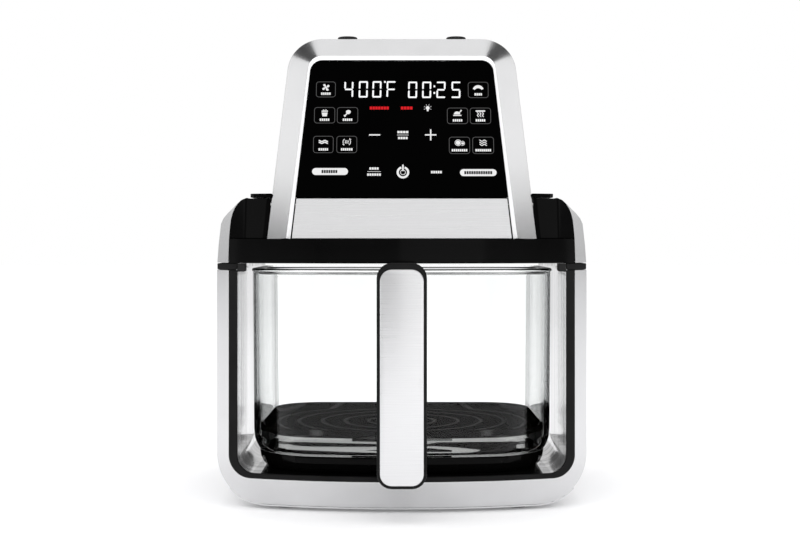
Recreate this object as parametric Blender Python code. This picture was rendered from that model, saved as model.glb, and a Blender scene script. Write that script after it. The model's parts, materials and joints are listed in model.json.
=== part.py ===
"""A glass-bowl air fryer, modelled as an assembly of named sub-parts.

Metres, +Z up, front towards -Y, origin on the ground under the middle of the whole object.
"""
from math import cos, hypot, pi, radians, sin, sqrt

import bmesh
import bpy
from mathutils import Matrix, Vector

# Driving dimensions
GAP = 0.0003              # clearance between touching pieces
HALF_WIDTH = 0.162        # outer shell
FRONT = -0.130            # middle of the bowed front
HEAD_REAR = 0.160
FRONT_LIMIT = -0.175      # handle
REAR_LIMIT = 0.175        # wall spacers
BOW_RADIUS = 0.400        # plan radius of the whole front
BEVEL = 0.008             # depth of the silver front bevel
SHELL_FLOOR, SHELL_CORNER = 0.0045, 0.042
TRIM_HALF, TRIM_FLOOR, TRIM_CORNER = 0.1498, 0.0280, 0.019
BAY_HALF, BAY_FLOOR, BAY_CORNER = 0.1423, 0.0320, 0.015
CRADLE_TOP = 0.2070
HEAD_FLOOR, BAND_TOP, HEAD_TOP = 0.2130, 0.2341, 0.2700
TOP_PANEL_TOP = 0.2735
SHOULDER_LEAN = radians(15)
TOWER_FOOT = Vector((0, -0.111, 0.2344))
TOWER_LEAN = radians(13)
TOWER_TOP = 0.4125        # level of the tower's flat top
PANEL_TAPER = 0.0975      # half width lost per metre up the tower's face
RIM_HALF, RIM_FRONT, RIM_REAR, RIM_CORNER = 0.1348, -0.1285, 0.1080, 0.055
FAN_Y = -0.008            # fan axis
PAN_RADIUS = 0.090
HANDLE_HALF, HANDLE_LOW, HANDLE_HIGH, HANDLE_CORNER = 0.02065, 0.0291, 0.2142, 0.0125
ARC_STEPS = 6
BOW_STEPS = 10


# ---- geometry helpers

def bow(x):
    """How far the bowed front lies behind its middle at x."""
    return BOW_RADIUS - sqrt(BOW_RADIUS ** 2 - x * x)


def arc(cx, cy, radius, start, end, steps=ARC_STEPS):
    angles = [start + (end - start) * k / steps for k in range(steps + 1)]
    return [(cx + radius * cos(a), cy + radius * sin(a)) for a in angles]


def u_outline(half, floor, corner, top):
    """Open U in the XZ plane, from its left end down, across and up to its right end."""
    run = half - corner
    flat = [(run * (2 * k / BOW_STEPS - 1), floor) for k in range(1, BOW_STEPS)]
    left = arc(-run, floor + corner, corner, pi, 1.5 * pi)
    right = arc(run, floor + corner, corner, 1.5 * pi, 2 * pi)
    return [(-half, top)] + left + flat + right + [(half, top)]


def plan(half, front, rear, corner, bowed=True):
    """Closed rounded rectangle in the XY plane, its front bowed."""
    run = half - corner
    line = [(run * (2 * k / BOW_STEPS - 1), front) for k in range(1, BOW_STEPS)]
    near = arc(-run, front + corner, corner, pi, 1.5 * pi) + line
    near += arc(run, front + corner, corner, 1.5 * pi, 2 * pi)
    if bowed:
        near = [(x, y + bow(x)) for x, y in near]
    far = arc(run, rear - corner, corner, 0, 0.5 * pi)
    far += arc(-run, rear - corner, corner, 0.5 * pi, pi)
    return near + far


def inset_plan(inset, rise=0.0):
    """The bowl rim's plan outline moved inwards by inset, at height rise."""
    outline = plan(RIM_HALF - inset, RIM_FRONT + inset, RIM_REAR - inset, RIM_CORNER - inset)
    return [Vector((x, y, rise)) for x, y in outline]


def fillet(before, corner, after, radius, steps=ARC_STEPS):
    """Arc points that round off a corner between two straight lines."""
    corner = Vector(corner)
    back = (Vector(before) - corner).normalized()
    ahead = (Vector(after) - corner).normalized()
    half_angle = back.angle(ahead) / 2
    reach = radius * cos(half_angle) / sin(half_angle)
    centre = corner + (back + ahead).normalized() * radius / sin(half_angle)
    first, last = corner + back * reach - centre, corner + ahead * reach - centre
    spread = first.angle(last)
    return [tuple(centre + (first * sin(spread * (1 - k / steps)) + last * sin(spread * k / steps))
                  / sin(spread)) for k in range(steps + 1)]


def tower_point(u, v, w):
    """World point of the leaning tower's frame: u across, v up its face, w out of its face."""
    c, s = cos(TOWER_LEAN), sin(TOWER_LEAN)
    return TOWER_FOOT + Vector((u, v * s - w * c, v * c + w * s))


def tower_top(w):
    """Height in the tower's frame of its flat top at depth w."""
    return (TOWER_TOP - TOWER_FOOT.z - w * sin(TOWER_LEAN)) / cos(TOWER_LEAN)


def arch(half, taper, top, corner, low=0.0):
    """Inverted, tapering U in the tower's frame, from its left foot over to its right foot."""
    at = lambda v: half - taper * v
    feet = (-at(low), low), (at(low), low)
    peaks = (-at(top), top), (at(top), top)
    left = fillet(feet[0], peaks[0], peaks[1], corner)
    return [feet[0]] + left + fillet(peaks[0], peaks[1], feet[1], corner) + [feet[1]]


def add_object(name, verts, faces, material, smooth=35):
    mesh = bpy.data.meshes.new(name)
    mesh.from_pydata([tuple(v) for v in verts], [], faces)
    bm = bmesh.new()
    bm.from_mesh(mesh)
    bmesh.ops.recalc_face_normals(bm, faces=bm.faces)
    bm.to_mesh(mesh)
    bm.free()
    mesh.shade_smooth()
    mesh.set_sharp_from_angle(angle=radians(smooth))
    obj = bpy.data.objects.new(name, mesh)
    bpy.context.scene.collection.objects.link(obj)
    obj.data.materials.append(material)
    return obj


def loft_data(rings, closed=False, start=0):
    """Vertices and faces of a skin over equal closed rings, capped unless it closes on itself."""
    count, size = len(rings), len(rings[0])
    verts = [Vector(p) for ring in rings for p in ring]
    faces = []
    for i in range(count if closed else count - 1):
        j = (i + 1) % count
        for k in range(size):
            m = (k + 1) % size
            faces.append([start + n for n in (i * size + k, i * size + m, j * size + m, j * size + k)])
    if not closed:
        faces.append([start + k for k in range(size)][::-1])
        faces.append([start + (count - 1) * size + k for k in range(size)])
    return verts, faces


def loft(name, rings, material, closed=False, smooth=35):
    return add_object(name, *loft_data(rings, closed), material, smooth)


def lofts(name, groups, material, smooth=35):
    """Several separate capped lofts in one object."""
    verts, faces = [], []
    for rings in groups:
        more_verts, more_faces = loft_data(rings, start=len(verts))
        verts += more_verts
        faces += more_faces
    return add_object(name, verts, faces, material, smooth)


def u_sweep(name, stations, top, material):
    """Sweep a closed section along a U; a station is (half, floor, corner, y, follows the bow)."""
    skins = []
    for half, floor, corner, y, bowed in stations:
        outline = u_outline(half, floor, corner, top)
        skins.append([Vector((x, y + (bow(x) if bowed else 0), z)) for x, z in outline])
    return loft(name, [list(section) for section in zip(*skins)], material)


def prism_rings(outline, low, high, axis="Z"):
    """The two rings of an extruded outline; the outline lies across the axis."""
    place = {"Z": lambda a, b, h: (a, b, h), "Y": lambda a, b, h: (a, h, b)}[axis]
    return [[Vector(place(a, b, h)) for a, b in outline] for h in (low, high)]


def box_rings(low, high):
    outline = [(low[0], low[1]), (high[0], low[1]), (high[0], high[1]), (low[0], high[1])]
    return prism_rings(outline, low[2], high[2])


def disc(centre, radius, height, sides=16):
    return [Vector((x, y, height)) for x, y in arc(*centre, radius, 0, 2 * pi, sides)[:-1]]


def rod_rings(start, end, radius, sides=16, end_radius=None):
    start, end = Vector(start), Vector(end)
    turn = (end - start).to_track_quat("Z", "Y")
    circle = [turn @ Vector((x, y, 0)) for x, y in arc(0, 0, 1, 0, 2 * pi, sides)[:-1]]
    return [[centre + size * p for p in circle]
            for centre, size in ((start, radius), (end, end_radius or radius))]


def revolve(name, profile, material, centre=(0, 0), axis="Z", sides=32):
    """Turn a closed profile of (radius, height) points around an axis through centre."""
    rings = []
    for k in range(sides):
        c, s = cos(2 * pi * k / sides), sin(2 * pi * k / sides)
        if axis == "Z":
            rings.append([Vector((centre[0] + r * c, centre[1] + r * s, h)) for r, h in profile])
        else:
            rings.append([Vector((centre[0] + r * c, h, centre[1] + r * s)) for r, h in profile])
    return loft(name, rings, material, closed=True)


def tube_rings(path, radius, sides=6):
    rings = []
    for k, point in enumerate(path):
        ahead = path[min(k + 1, len(path) - 1)] - path[max(k - 1, 0)]
        out = Vector((point.x, point.y - FAN_Y, 0)).normalized()
        side = ahead.cross(out).normalized()
        out = side.cross(ahead).normalized()
        rings.append([point + radius * (cos(a) * out + sin(a) * side)
                      for a in (2 * pi * n / sides for n in range(sides))])
    return rings


def cell_plate(name, rows, cols, kept, point, levels, material, wrap=False, inner_cap=False):
    """A plate of quad cells with holes where kept(i, j) is false; point(i, j) gives (x, y)."""
    low, high = levels
    verts, index, faces = [], {}, []

    def vertex(i, j, top):
        j = j % cols if wrap else j
        key = (i, j, top)
        if key not in index:
            index[key] = len(verts)
            x, y = point(i, j)
            verts.append((x, y, high if top else low))
        return index[key]

    def present(i, j):
        if wrap:
            j %= cols
        return 0 <= i < rows and 0 <= j < cols and kept(i, j)

    for i in range(rows):
        for j in range(cols):
            if not present(i, j):
                continue
            corners = [(i, j), (i + 1, j), (i + 1, j + 1), (i, j + 1)]
            faces.append([vertex(a, b, True) for a, b in corners])
            faces.append([vertex(a, b, False) for a, b in corners][::-1])
            sides = {0: (i, j - 1), 1: (i + 1, j), 2: (i, j + 1), 3: (i - 1, j)}
            for side, neighbour in sides.items():
                if present(*neighbour) or (side == 3 and i == 0 and inner_cap):
                    continue
                (a, b), (c, d) = corners[side], corners[(side + 1) % 4]
                faces.append([vertex(a, b, True), vertex(a, b, False),
                              vertex(c, d, False), vertex(c, d, True)])
    if inner_cap:
        faces.append([vertex(0, j, True) for j in range(cols)])
        faces.append([vertex(0, j, False) for j in range(cols)][::-1])
    return verts, faces, index


def boolean(target, rings_groups, operation="DIFFERENCE"):
    """Combine an object with hidden solids built from lofted rings."""
    for number, rings in enumerate(rings_groups):
        tool = lofts(f"tool_{target.name}_{operation.lower()}_{number}", [rings], target.data.materials[0])
        tool.hide_render = True
        tool.display_type = "WIRE"
        modifier = target.modifiers.new(f"{operation.lower()}_{number}", "BOOLEAN")
        modifier.operation = operation
        modifier.solver = "EXACT"
        modifier.object = tool
    return target


def cut_group(target, groups):
    """Cut several separate solids out of an object with one Boolean."""
    tool = lofts(f"tool_{target.name}_group", groups, target.data.materials[0])
    tool.hide_render = True
    tool.display_type = "WIRE"
    modifier = target.modifiers.new("cut_group", "BOOLEAN")
    modifier.operation = "DIFFERENCE"
    modifier.solver = "EXACT"
    modifier.object = tool
    return target


def material(name, colour, roughness, metallic=0.0, transmission=0.0):
    mat = bpy.data.materials.new(name)
    mat.use_nodes = True
    shader = mat.node_tree.nodes["Principled BSDF"]
    shader.inputs["Base Color"].default_value = (*colour, 1)
    shader.inputs["Roughness"].default_value = roughness
    shader.inputs["Metallic"].default_value = metallic
    shader.inputs["Transmission Weight"].default_value = transmission
    mat.diffuse_color = (*colour, 1)
    return mat


# ---- cradle

def build_cradle(m):
    outer = (HALF_WIDTH, SHELL_FLOOR, SHELL_CORNER)
    wall = 0.002
    inner = (HALF_WIDTH - wall, SHELL_FLOOR + wall, SHELL_CORNER - wall)
    lip = (TRIM_HALF + GAP, TRIM_FLOOR - GAP, TRIM_CORNER + GAP)
    shell_rear = HEAD_REAR - 0.002
    shell = u_sweep("outer_shell", [
        (*lip, FRONT, True), (*outer, FRONT + BEVEL, True), (*outer, shell_rear, False),
        (*inner, shell_rear, False), (*inner, FRONT + BEVEL + 0.0025, True),
        (*lip, FRONT + 0.003, True)], CRADLE_TOP, m["silver"])

    trim_out = (TRIM_HALF, TRIM_FLOOR, TRIM_CORNER)
    bay = (BAY_HALF, BAY_FLOOR, BAY_CORNER)
    front, back = FRONT - 0.0005, FRONT + 0.003
    u_sweep("front_trim", [(*trim_out, front, True), (*trim_out, back, True),
                           (*bay, back, True), (*bay, front, True)], CRADLE_TOP, m["black"])

    skin = (BAY_HALF + 0.0002, BAY_FLOOR - 0.0010, BAY_CORNER + 0.0005)
    hide = (skin[0] + 0.0012, skin[1] - 0.0012, skin[2] + 0.0012)
    start = FRONT + 0.003 + GAP
    u_sweep("inner_liner", [(*skin, start, True), (*hide, start, True),
                            (*hide, shell_rear, False), (*skin, shell_rear, False)],
            HEAD_FLOOR - GAP, m["liner"])
    rear_start, rear_end = shell_rear + GAP, shell_rear + 0.003
    u_sweep("rear_trim", [(*outer, rear_start, False), (*outer, rear_end, False),
                          (*skin, rear_end, False), (*skin, rear_start, False)],
            CRADLE_TOP, m["black"])

    # The belts close the sides between cradle and head, outside the tall liner.
    belt_half, belt_inner = HALF_WIDTH - 0.0004, hide[0] + GAP
    for side, name in ((-1, "belt_left"), (1, "belt_right")):
        outline = [(BAY_HALF, front + bow(BAY_HALF)), (TRIM_HALF, front + bow(TRIM_HALF)),
                   (belt_half, FRONT + BEVEL - 0.0005 + bow(belt_half)),
                   (belt_half, rear_end), (belt_inner, rear_end),
                   (belt_inner, back + bow(BAY_HALF)), (BAY_HALF, back + bow(BAY_HALF))]
        outline = [(side * x, y) for x, y in outline]
        loft(name, prism_rings(outline, CRADLE_TOP + GAP, HEAD_FLOOR - GAP), m["black"])

    floor_half, floor_rear = 0.1215, 0.150
    steps = [floor_half * (2 * k / BOW_STEPS - 1) for k in range(BOW_STEPS + 1)]
    edge = [(x, FRONT + 0.0036 + bow(x)) for x in steps]
    outline = edge + [(floor_half, floor_rear), (-floor_half, floor_rear)]
    loft("floor_plate", prism_rings(outline, BAY_FLOOR - 0.0007, BAY_FLOOR), m["gloss"])

    # The pan hugs the shell's underside as a thin skin between its lower corners.
    def underside(offset):
        full = u_outline(HALF_WIDTH + offset, SHELL_FLOOR - offset, SHELL_CORNER + offset, CRADLE_TOP)
        return full[4:-4]
    skins = []
    for offset, y, bowed in ((0.0015, FRONT + BEVEL + 0.001, True), (0.0015, shell_rear, False),
                             (GAP, shell_rear, False), (GAP, FRONT + BEVEL + 0.001, True)):
        skins.append([Vector((x, y + (bow(x) if bowed else 0), z)) for x, z in underside(offset)])
    pan = loft("base_pan", [list(section) for section in zip(*skins)], m["silver"])

    # Push-in feet: their stems pass through the pan and the shell and hold them together.
    pan_low, shell_high = SHELL_FLOOR - 0.0015, SHELL_FLOOR + wall
    foot_radius, stem, barb = 0.011, 0.0032, 0.0045
    holes = []
    for x, tag in ((-0.100, "left"), (0.100, "right")):
        for y, end in ((-0.085, "front"), (0.130, "rear")):
            levels = [(0, foot_radius - 0.001), (0.001, foot_radius), (pan_low - GAP, foot_radius),
                      (pan_low - GAP, stem), (shell_high + GAP, stem), (shell_high + GAP, barb),
                      (shell_high + 0.004, stem - 0.001)]
            loft(f"foot_{end}_{tag}", [disc((x, y), radius, z) for z, radius in levels], m["rubber"])
            holes.append([disc((x, y), stem + GAP, z) for z in (-0.001, 0.012)])
    cut_group(shell, holes)
    cut_group(pan, holes)

    stop = loft("bowl_stop", box_rings((-0.050, 0.1100, BAY_FLOOR + GAP), (0.050, 0.1290, 0.0600)),
                m["black"])
    boolean(stop, [rod_rings((0, 0.105, 0.0415), (0, 0.119, 0.0415), 0.0034),
                   box_rings((-0.012, 0.1165, 0.0355), (0.012, 0.1300, 0.0475))])
    loft("interlock_switch", box_rings((-0.010, 0.1214, 0.0363), (0.010, 0.1280, 0.0467)), m["rubber"])
    for side, name in ((-1, "rim_guide_left"), (1, "rim_guide_right")):
        low, high = RIM_HALF + 0.0008, BAY_HALF - GAP
        outline = [(side * low, HEAD_FLOOR - GAP), (side * high, HEAD_FLOOR - GAP),
                   (side * high, 0.2056), (side * (low + 0.0012), 0.2056), (side * low, 0.2068)]
        rear = FRONT + 0.012 + bow(BAY_HALF)
        loft(name, prism_rings(outline, rear - 0.012, rear, "Y"), m["rubber"])


# ---- head

def shoulder_outline():
    """Outer edge of the black shoulder, from its foot up to the flat top."""
    return [(0.1493, BAND_TOP + 0.0007), (0.1491, 0.243), (0.1484, 0.2507), (0.1471, 0.2560),
            (0.1453, 0.2604), (0.1427, 0.2644), (0.1396, 0.2674), (0.1352, 0.2693)]


def cap_outline():
    """Outer edge of the silver side cap, matching the shoulder's edge point for point."""
    return [(0.1616, HEAD_FLOOR + GAP), (0.1604, 0.2290), (0.1587, 0.2472), (0.1566, 0.2520),
            (0.1528, 0.2565), (0.1485, 0.2607), (0.1442, 0.2649), (0.1403, 0.2684), (0.1352, 0.2700)]


def lean_back(z):
    return max(z - BAND_TOP, 0) * sin(SHOULDER_LEAN) / cos(SHOULDER_LEAN)


def shoulder_front(x, z):
    """The shoulder follows the bow, then eases back to meet the tower's outer edge."""
    share = min(max((0.137 - x) / 0.020, 0), 1)
    return FRONT + 0.001 + bow(x) + lean_back(z) + 0.0072 * share * share * (3 - 2 * share)


def build_head(m):
    low_half, high_half, wall, flange = 0.1501, 0.1492, 0.003, 0.0018
    bezel_half, bezel_inner, bezel_depth = 0.1168, 0.0995, 0.0068
    sections = []
    steps = 24
    for k in range(steps + 1):
        share = 2 * k / steps - 1
        x_low, x_high = low_half * share, high_half * share
        y_low, y_high = FRONT + bow(x_low), FRONT + bow(x_high)
        reach = TOWER_FOOT.y - 0.0005
        reach += bezel_depth * min(max((abs(x_high) - bezel_inner) / (bezel_half - bezel_inner), 0), 1)
        reach = max(reach, y_high + wall + 0.0002)
        under = BAND_TOP - flange
        sections.append([Vector(p) for p in (
            (x_low, y_low, HEAD_FLOOR), (x_high, y_high, BAND_TOP), (x_high, reach, BAND_TOP),
            (x_high, reach, under), (x_high, y_high + wall, under), (x_low, y_low + wall, HEAD_FLOOR))])
    loft("head_band", sections, m["gloss"])

    foot, thickness = BAND_TOP + 0.0007, 0.0026
    top = 0.2692
    for side, name in ((-1, "shoulder_left"), (1, "shoulder_right")):
        columns = [((x, foot), (x - 0.2 * (0.1342 - x), top))
                   for x in (0.1172, 0.1205, 0.1245, 0.1285, 0.1325)]
        columns += [((x, foot), (x, z)) for x, z in shoulder_outline()[:0:-1]]
        columns[-1] = (shoulder_outline()[0], shoulder_outline()[1])
        sections = []
        for (x0, z0), (x1, z1) in columns:
            ring = []
            for x, z, depth in ((x0, z0, 0), (x1, z1, 0), (x1, z1, thickness), (x0, z0, thickness)):
                ring.append(Vector((side * x, shoulder_front(x, z) + depth, z)))
            sections.append(ring)
        loft(name, sections, m["gloss"])

    skin = 0.002
    inner_edge = [(shoulder_outline()[0][0] + 0.0013, HEAD_FLOOR + GAP)]
    inner_edge += [(shoulder_outline()[0][0] + 0.0006, BAND_TOP)]
    inner_edge += [(x + GAP, z + GAP) for x, z in shoulder_outline()[1:]]
    outer_edge = cap_outline()
    for side, name in ((-1, "side_cap_left"), (1, "side_cap_right")):
        sections = []
        for k, (xo, zo) in enumerate(outer_edge):
            before, after = outer_edge[max(k - 1, 0)], outer_edge[min(k + 1, len(outer_edge) - 1)]
            dx, dz = after[0] - before[0], after[1] - before[1]
            length = hypot(dx, dz)
            xs, zs = xo - skin * dz / length, zo + skin * dx / length
            if k == 0:
                zs = zo
            xi, zi = inner_edge[k]
            y_in = FRONT + bow(xi) + lean_back(zi)
            y_out = FRONT + BEVEL + bow(xo) + lean_back(zo)
            sections.append([Vector((side * x, y, z)) for x, y, z in (
                (xi, y_in, zi), (xo, y_out, zo), (xo, HEAD_REAR, zo), (xs, HEAD_REAR, zs),
                (xs, y_out + 0.0025, zs), (xi, y_in + 0.003, zi))])
        loft(name, sections, m["silver"])

    base_high = HEAD_FLOOR + 0.0016
    front = FRONT + wall + GAP + 0.0003
    outer = plan(0.1485, front, HEAD_REAR - GAP, 0.010)
    hole = plan(0.118, -0.118, 0.098, 0.050)
    rings = [[Vector((x, y, z)) for x, y in outline] for outline, z in (
        (outer, HEAD_FLOOR), (outer, base_high), (hole, base_high), (hole, HEAD_FLOOR))]
    loft("head_base", rings, m["black"], closed=True)

    panel_front, half = FRONT + 0.0165, 0.1325
    corner = 0.003
    edge = [(x, panel_front + bow(x)) for x in (0.1138, 0.118, 0.122, half - corner)]
    right = edge + [(half, panel_front + bow(half) + corner)]
    right += [(half, HEAD_REAR - corner), (half - corner, HEAD_REAR)]
    notch = [(0.104, 0.040), (0.104, -0.0835), (0.1138, -0.0835)]
    outline = notch + right + [(-x, y) for x, y in (notch + right)[::-1]]
    panel = loft("top_panel", prism_rings(outline, HEAD_TOP + GAP, TOP_PANEL_TOP), m["gloss"])
    cut_group(panel, [box_rings((x - 0.002, 0.080, 0.265), (x + 0.002, 0.140, 0.280))
                      for x in (0.014 * k for k in range(-5, 6))])

    outline = cap_outline() + [(-x, z) for x, z in cap_outline()[::-1]]
    cover = loft("rear_cover", prism_rings(outline, HEAD_REAR + GAP, HEAD_REAR + 0.003, "Y"), m["black"])
    slots = [box_rings((x - 0.0022, 0.15, 0.225), (x + 0.0022, 0.17, 0.258))
             for x in (0.011 * k for k in range(-5, 6))]
    fixings = {"rear_screw_left": (-0.140, 0.236), "rear_screw_right": (0.140, 0.236)}
    slots += [rod_rings((x, 0.15, z), (x, 0.17, z), 0.0018, 10) for x, z in fixings.values()]
    slots.append(rod_rings((0.085, 0.15, 0.228), (0.085, 0.17, 0.228), 0.0066, 16))
    cut_group(cover, slots)
    for name, (x, z) in fixings.items():
        loft(name, rod_rings((x, 0.1655, z), (x, 0.1633 + GAP, z), 0.0034, 10)
             + rod_rings((x, 0.1633 + GAP, z), (x, 0.1520, z), 0.0015, 10), m["steel"])
    for name, x in (("wall_spacer_left", -0.110), ("wall_spacer_right", 0.110)):
        near, edge, tip = ((x, y, 0.236) for y in (HEAD_REAR + 0.003 + GAP, REAR_LIMIT - 0.0012, REAR_LIMIT))
        loft(name, rod_rings(near, edge, 0.008) + rod_rings(edge, tip, 0.008, end_radius=0.0068)[1:],
             m["rubber"])
    revolve("mains_inlet", [(0.0045, 0.1560), (0.0062, 0.1560), (0.0062, 0.1636), (0.0100, 0.1636),
                            (0.0092, 0.1670), (0.0068, 0.1700), (0.0045, 0.1700)],
            m["rubber"], centre=(0.085, 0.228), axis="Y", sides=20)


# ---- control tower

def build_tower(m):
    outer = (0.1168, 0.0980)
    depth, edge = -0.016, -0.007
    rim_corner = 0.031
    ridge = (0.0995, 0.1075, 0.1661, 0.0125)
    lip = (0.0960, PANEL_TAPER, 0.1626, 0.0110)
    skin = 0.002
    stations = [((*outer, tower_top(depth), rim_corner), depth), ((*outer, tower_top(edge), rim_corner), edge),
                (ridge, 0.0), (lip, -0.0018), (lip, -0.0050),
                ((ridge[0] + 0.0015, ridge[1], ridge[2] + 0.0015, ridge[3]), -0.0060),
                ((outer[0] - skin, outer[1], tower_top(edge) - skin, rim_corner - skin), edge - 0.003),
                ((outer[0] - skin, outer[1], tower_top(depth) - skin, rim_corner - skin), depth)]
    skins = [[tower_point(u, v, w) for u, v in arch(*shape)] for shape, w in stations]
    loft("tower_bezel", [list(section) for section in zip(*skins)], m["silver"])

    def wedge(grow, front):
        """Closed rings from the bezel's back down the sloping back of the tower."""
        rings = []
        for w, top in ((front, tower_top(front)), (-0.030, tower_top(-0.030)), (-0.036, 0.1885),
                       (-0.041, 0.1825), (-0.0958, 0.1250), (-0.1537, 0.0720), (-0.165, 0.0617)):
            half = outer[0] - 0.030 * (-w - 0.016) + grow
            shape = arch(half, outer[1], top + grow, rim_corner + grow, low=-0.020)
            rings.append([tower_point(u, v, w - (grow if w < -0.1 else 0)) for u, v in shape])
        return rings
    back = loft("tower_back", wedge(0.0, depth - GAP), m["black"])
    boolean(back, [wedge(-0.0022, -0.010),
                   box_rings((-0.2, -0.2, 0.1), (0.2, 0.2, TOP_PANEL_TOP + GAP))])
    slats = []
    for k in range(7):
        w, v = -0.062 - 0.010 * k, 0.1603 - 0.0105 * k
        rings = [[tower_point(u, v + dv, w + dw) for u, dw in ((-0.045, -0.012), (0.045, -0.012),
                                                             (0.045, 0.012), (-0.045, 0.012))]
                 for dv in (-0.0018, 0.0018)]
        slats.append(rings)
    cut_group(back, slats)

    low, high = 0.0003, 0.0359
    wide, narrow = 0.0949 - PANEL_TAPER * low, 0.0949 - PANEL_TAPER * high
    plate = [(-wide, low), (wide, low), (narrow, high), (-narrow, high)]
    loft("badge_plate", [[tower_point(u, v, w) for u, v in plate] for w in (-0.0015, -0.0035)],
         m["brushed"])
    glass = arch(0.0952, PANEL_TAPER, 0.1611, 0.0103, low=0.0367)
    loft("control_glass", [[tower_point(u, v, w) for u, v in glass] for w in (-0.0013, -0.0038)],
         m["glass_black"])

    def slab(u, v_low, v_high, w_front, w_back):
        corners = [(-u, v_low), (u, v_low), (u, v_high), (-u, v_high)]
        return [[tower_point(a, b, w) for a, b in corners] for w in (w_front, w_back)]
    board = loft("control_board", slab(0.074, 0.046, 0.152, -0.0094, -0.0110), m["pcb"])
    boolean(board, [slab(0.062, 0.112, 0.134, -0.0042, -0.0102)], "UNION")

    bend = [(0.050, -0.0135), (0.046, -0.0200)]
    route = [tower_point(0, v, w) for v, w in bend]
    route += [Vector((0, -0.075, 0.262)), Vector((0, -0.040, 0.2580)), Vector((0, 0.060, 0.2560)),
              Vector((0, 0.100, 0.2510)), Vector((0, 0.112, 0.2420))]
    strip = []
    for p in route:
        strip.append([p + Vector(d) for d in ((-0.078, 0, 0), (-0.062, 0, 0),
                                              (-0.062, 0.0003, 0.0006), (-0.078, 0.0003, 0.0006))])
    loft("ribbon_cable", strip, m["ribbon"])

    low = TOWER_TOP + GAP
    for name, x in (("top_bumper_left", -0.0488), ("top_bumper_right", 0.0488)):
        loft(name, [disc((x, -0.052), radius, low + rise, 20) for rise, radius in (
            (0, 0.0088), (0.0018, 0.0088), (0.0024, 0.0084), (0.0027, 0.0076))], m["rubber"])


# ---- inside the head

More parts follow.
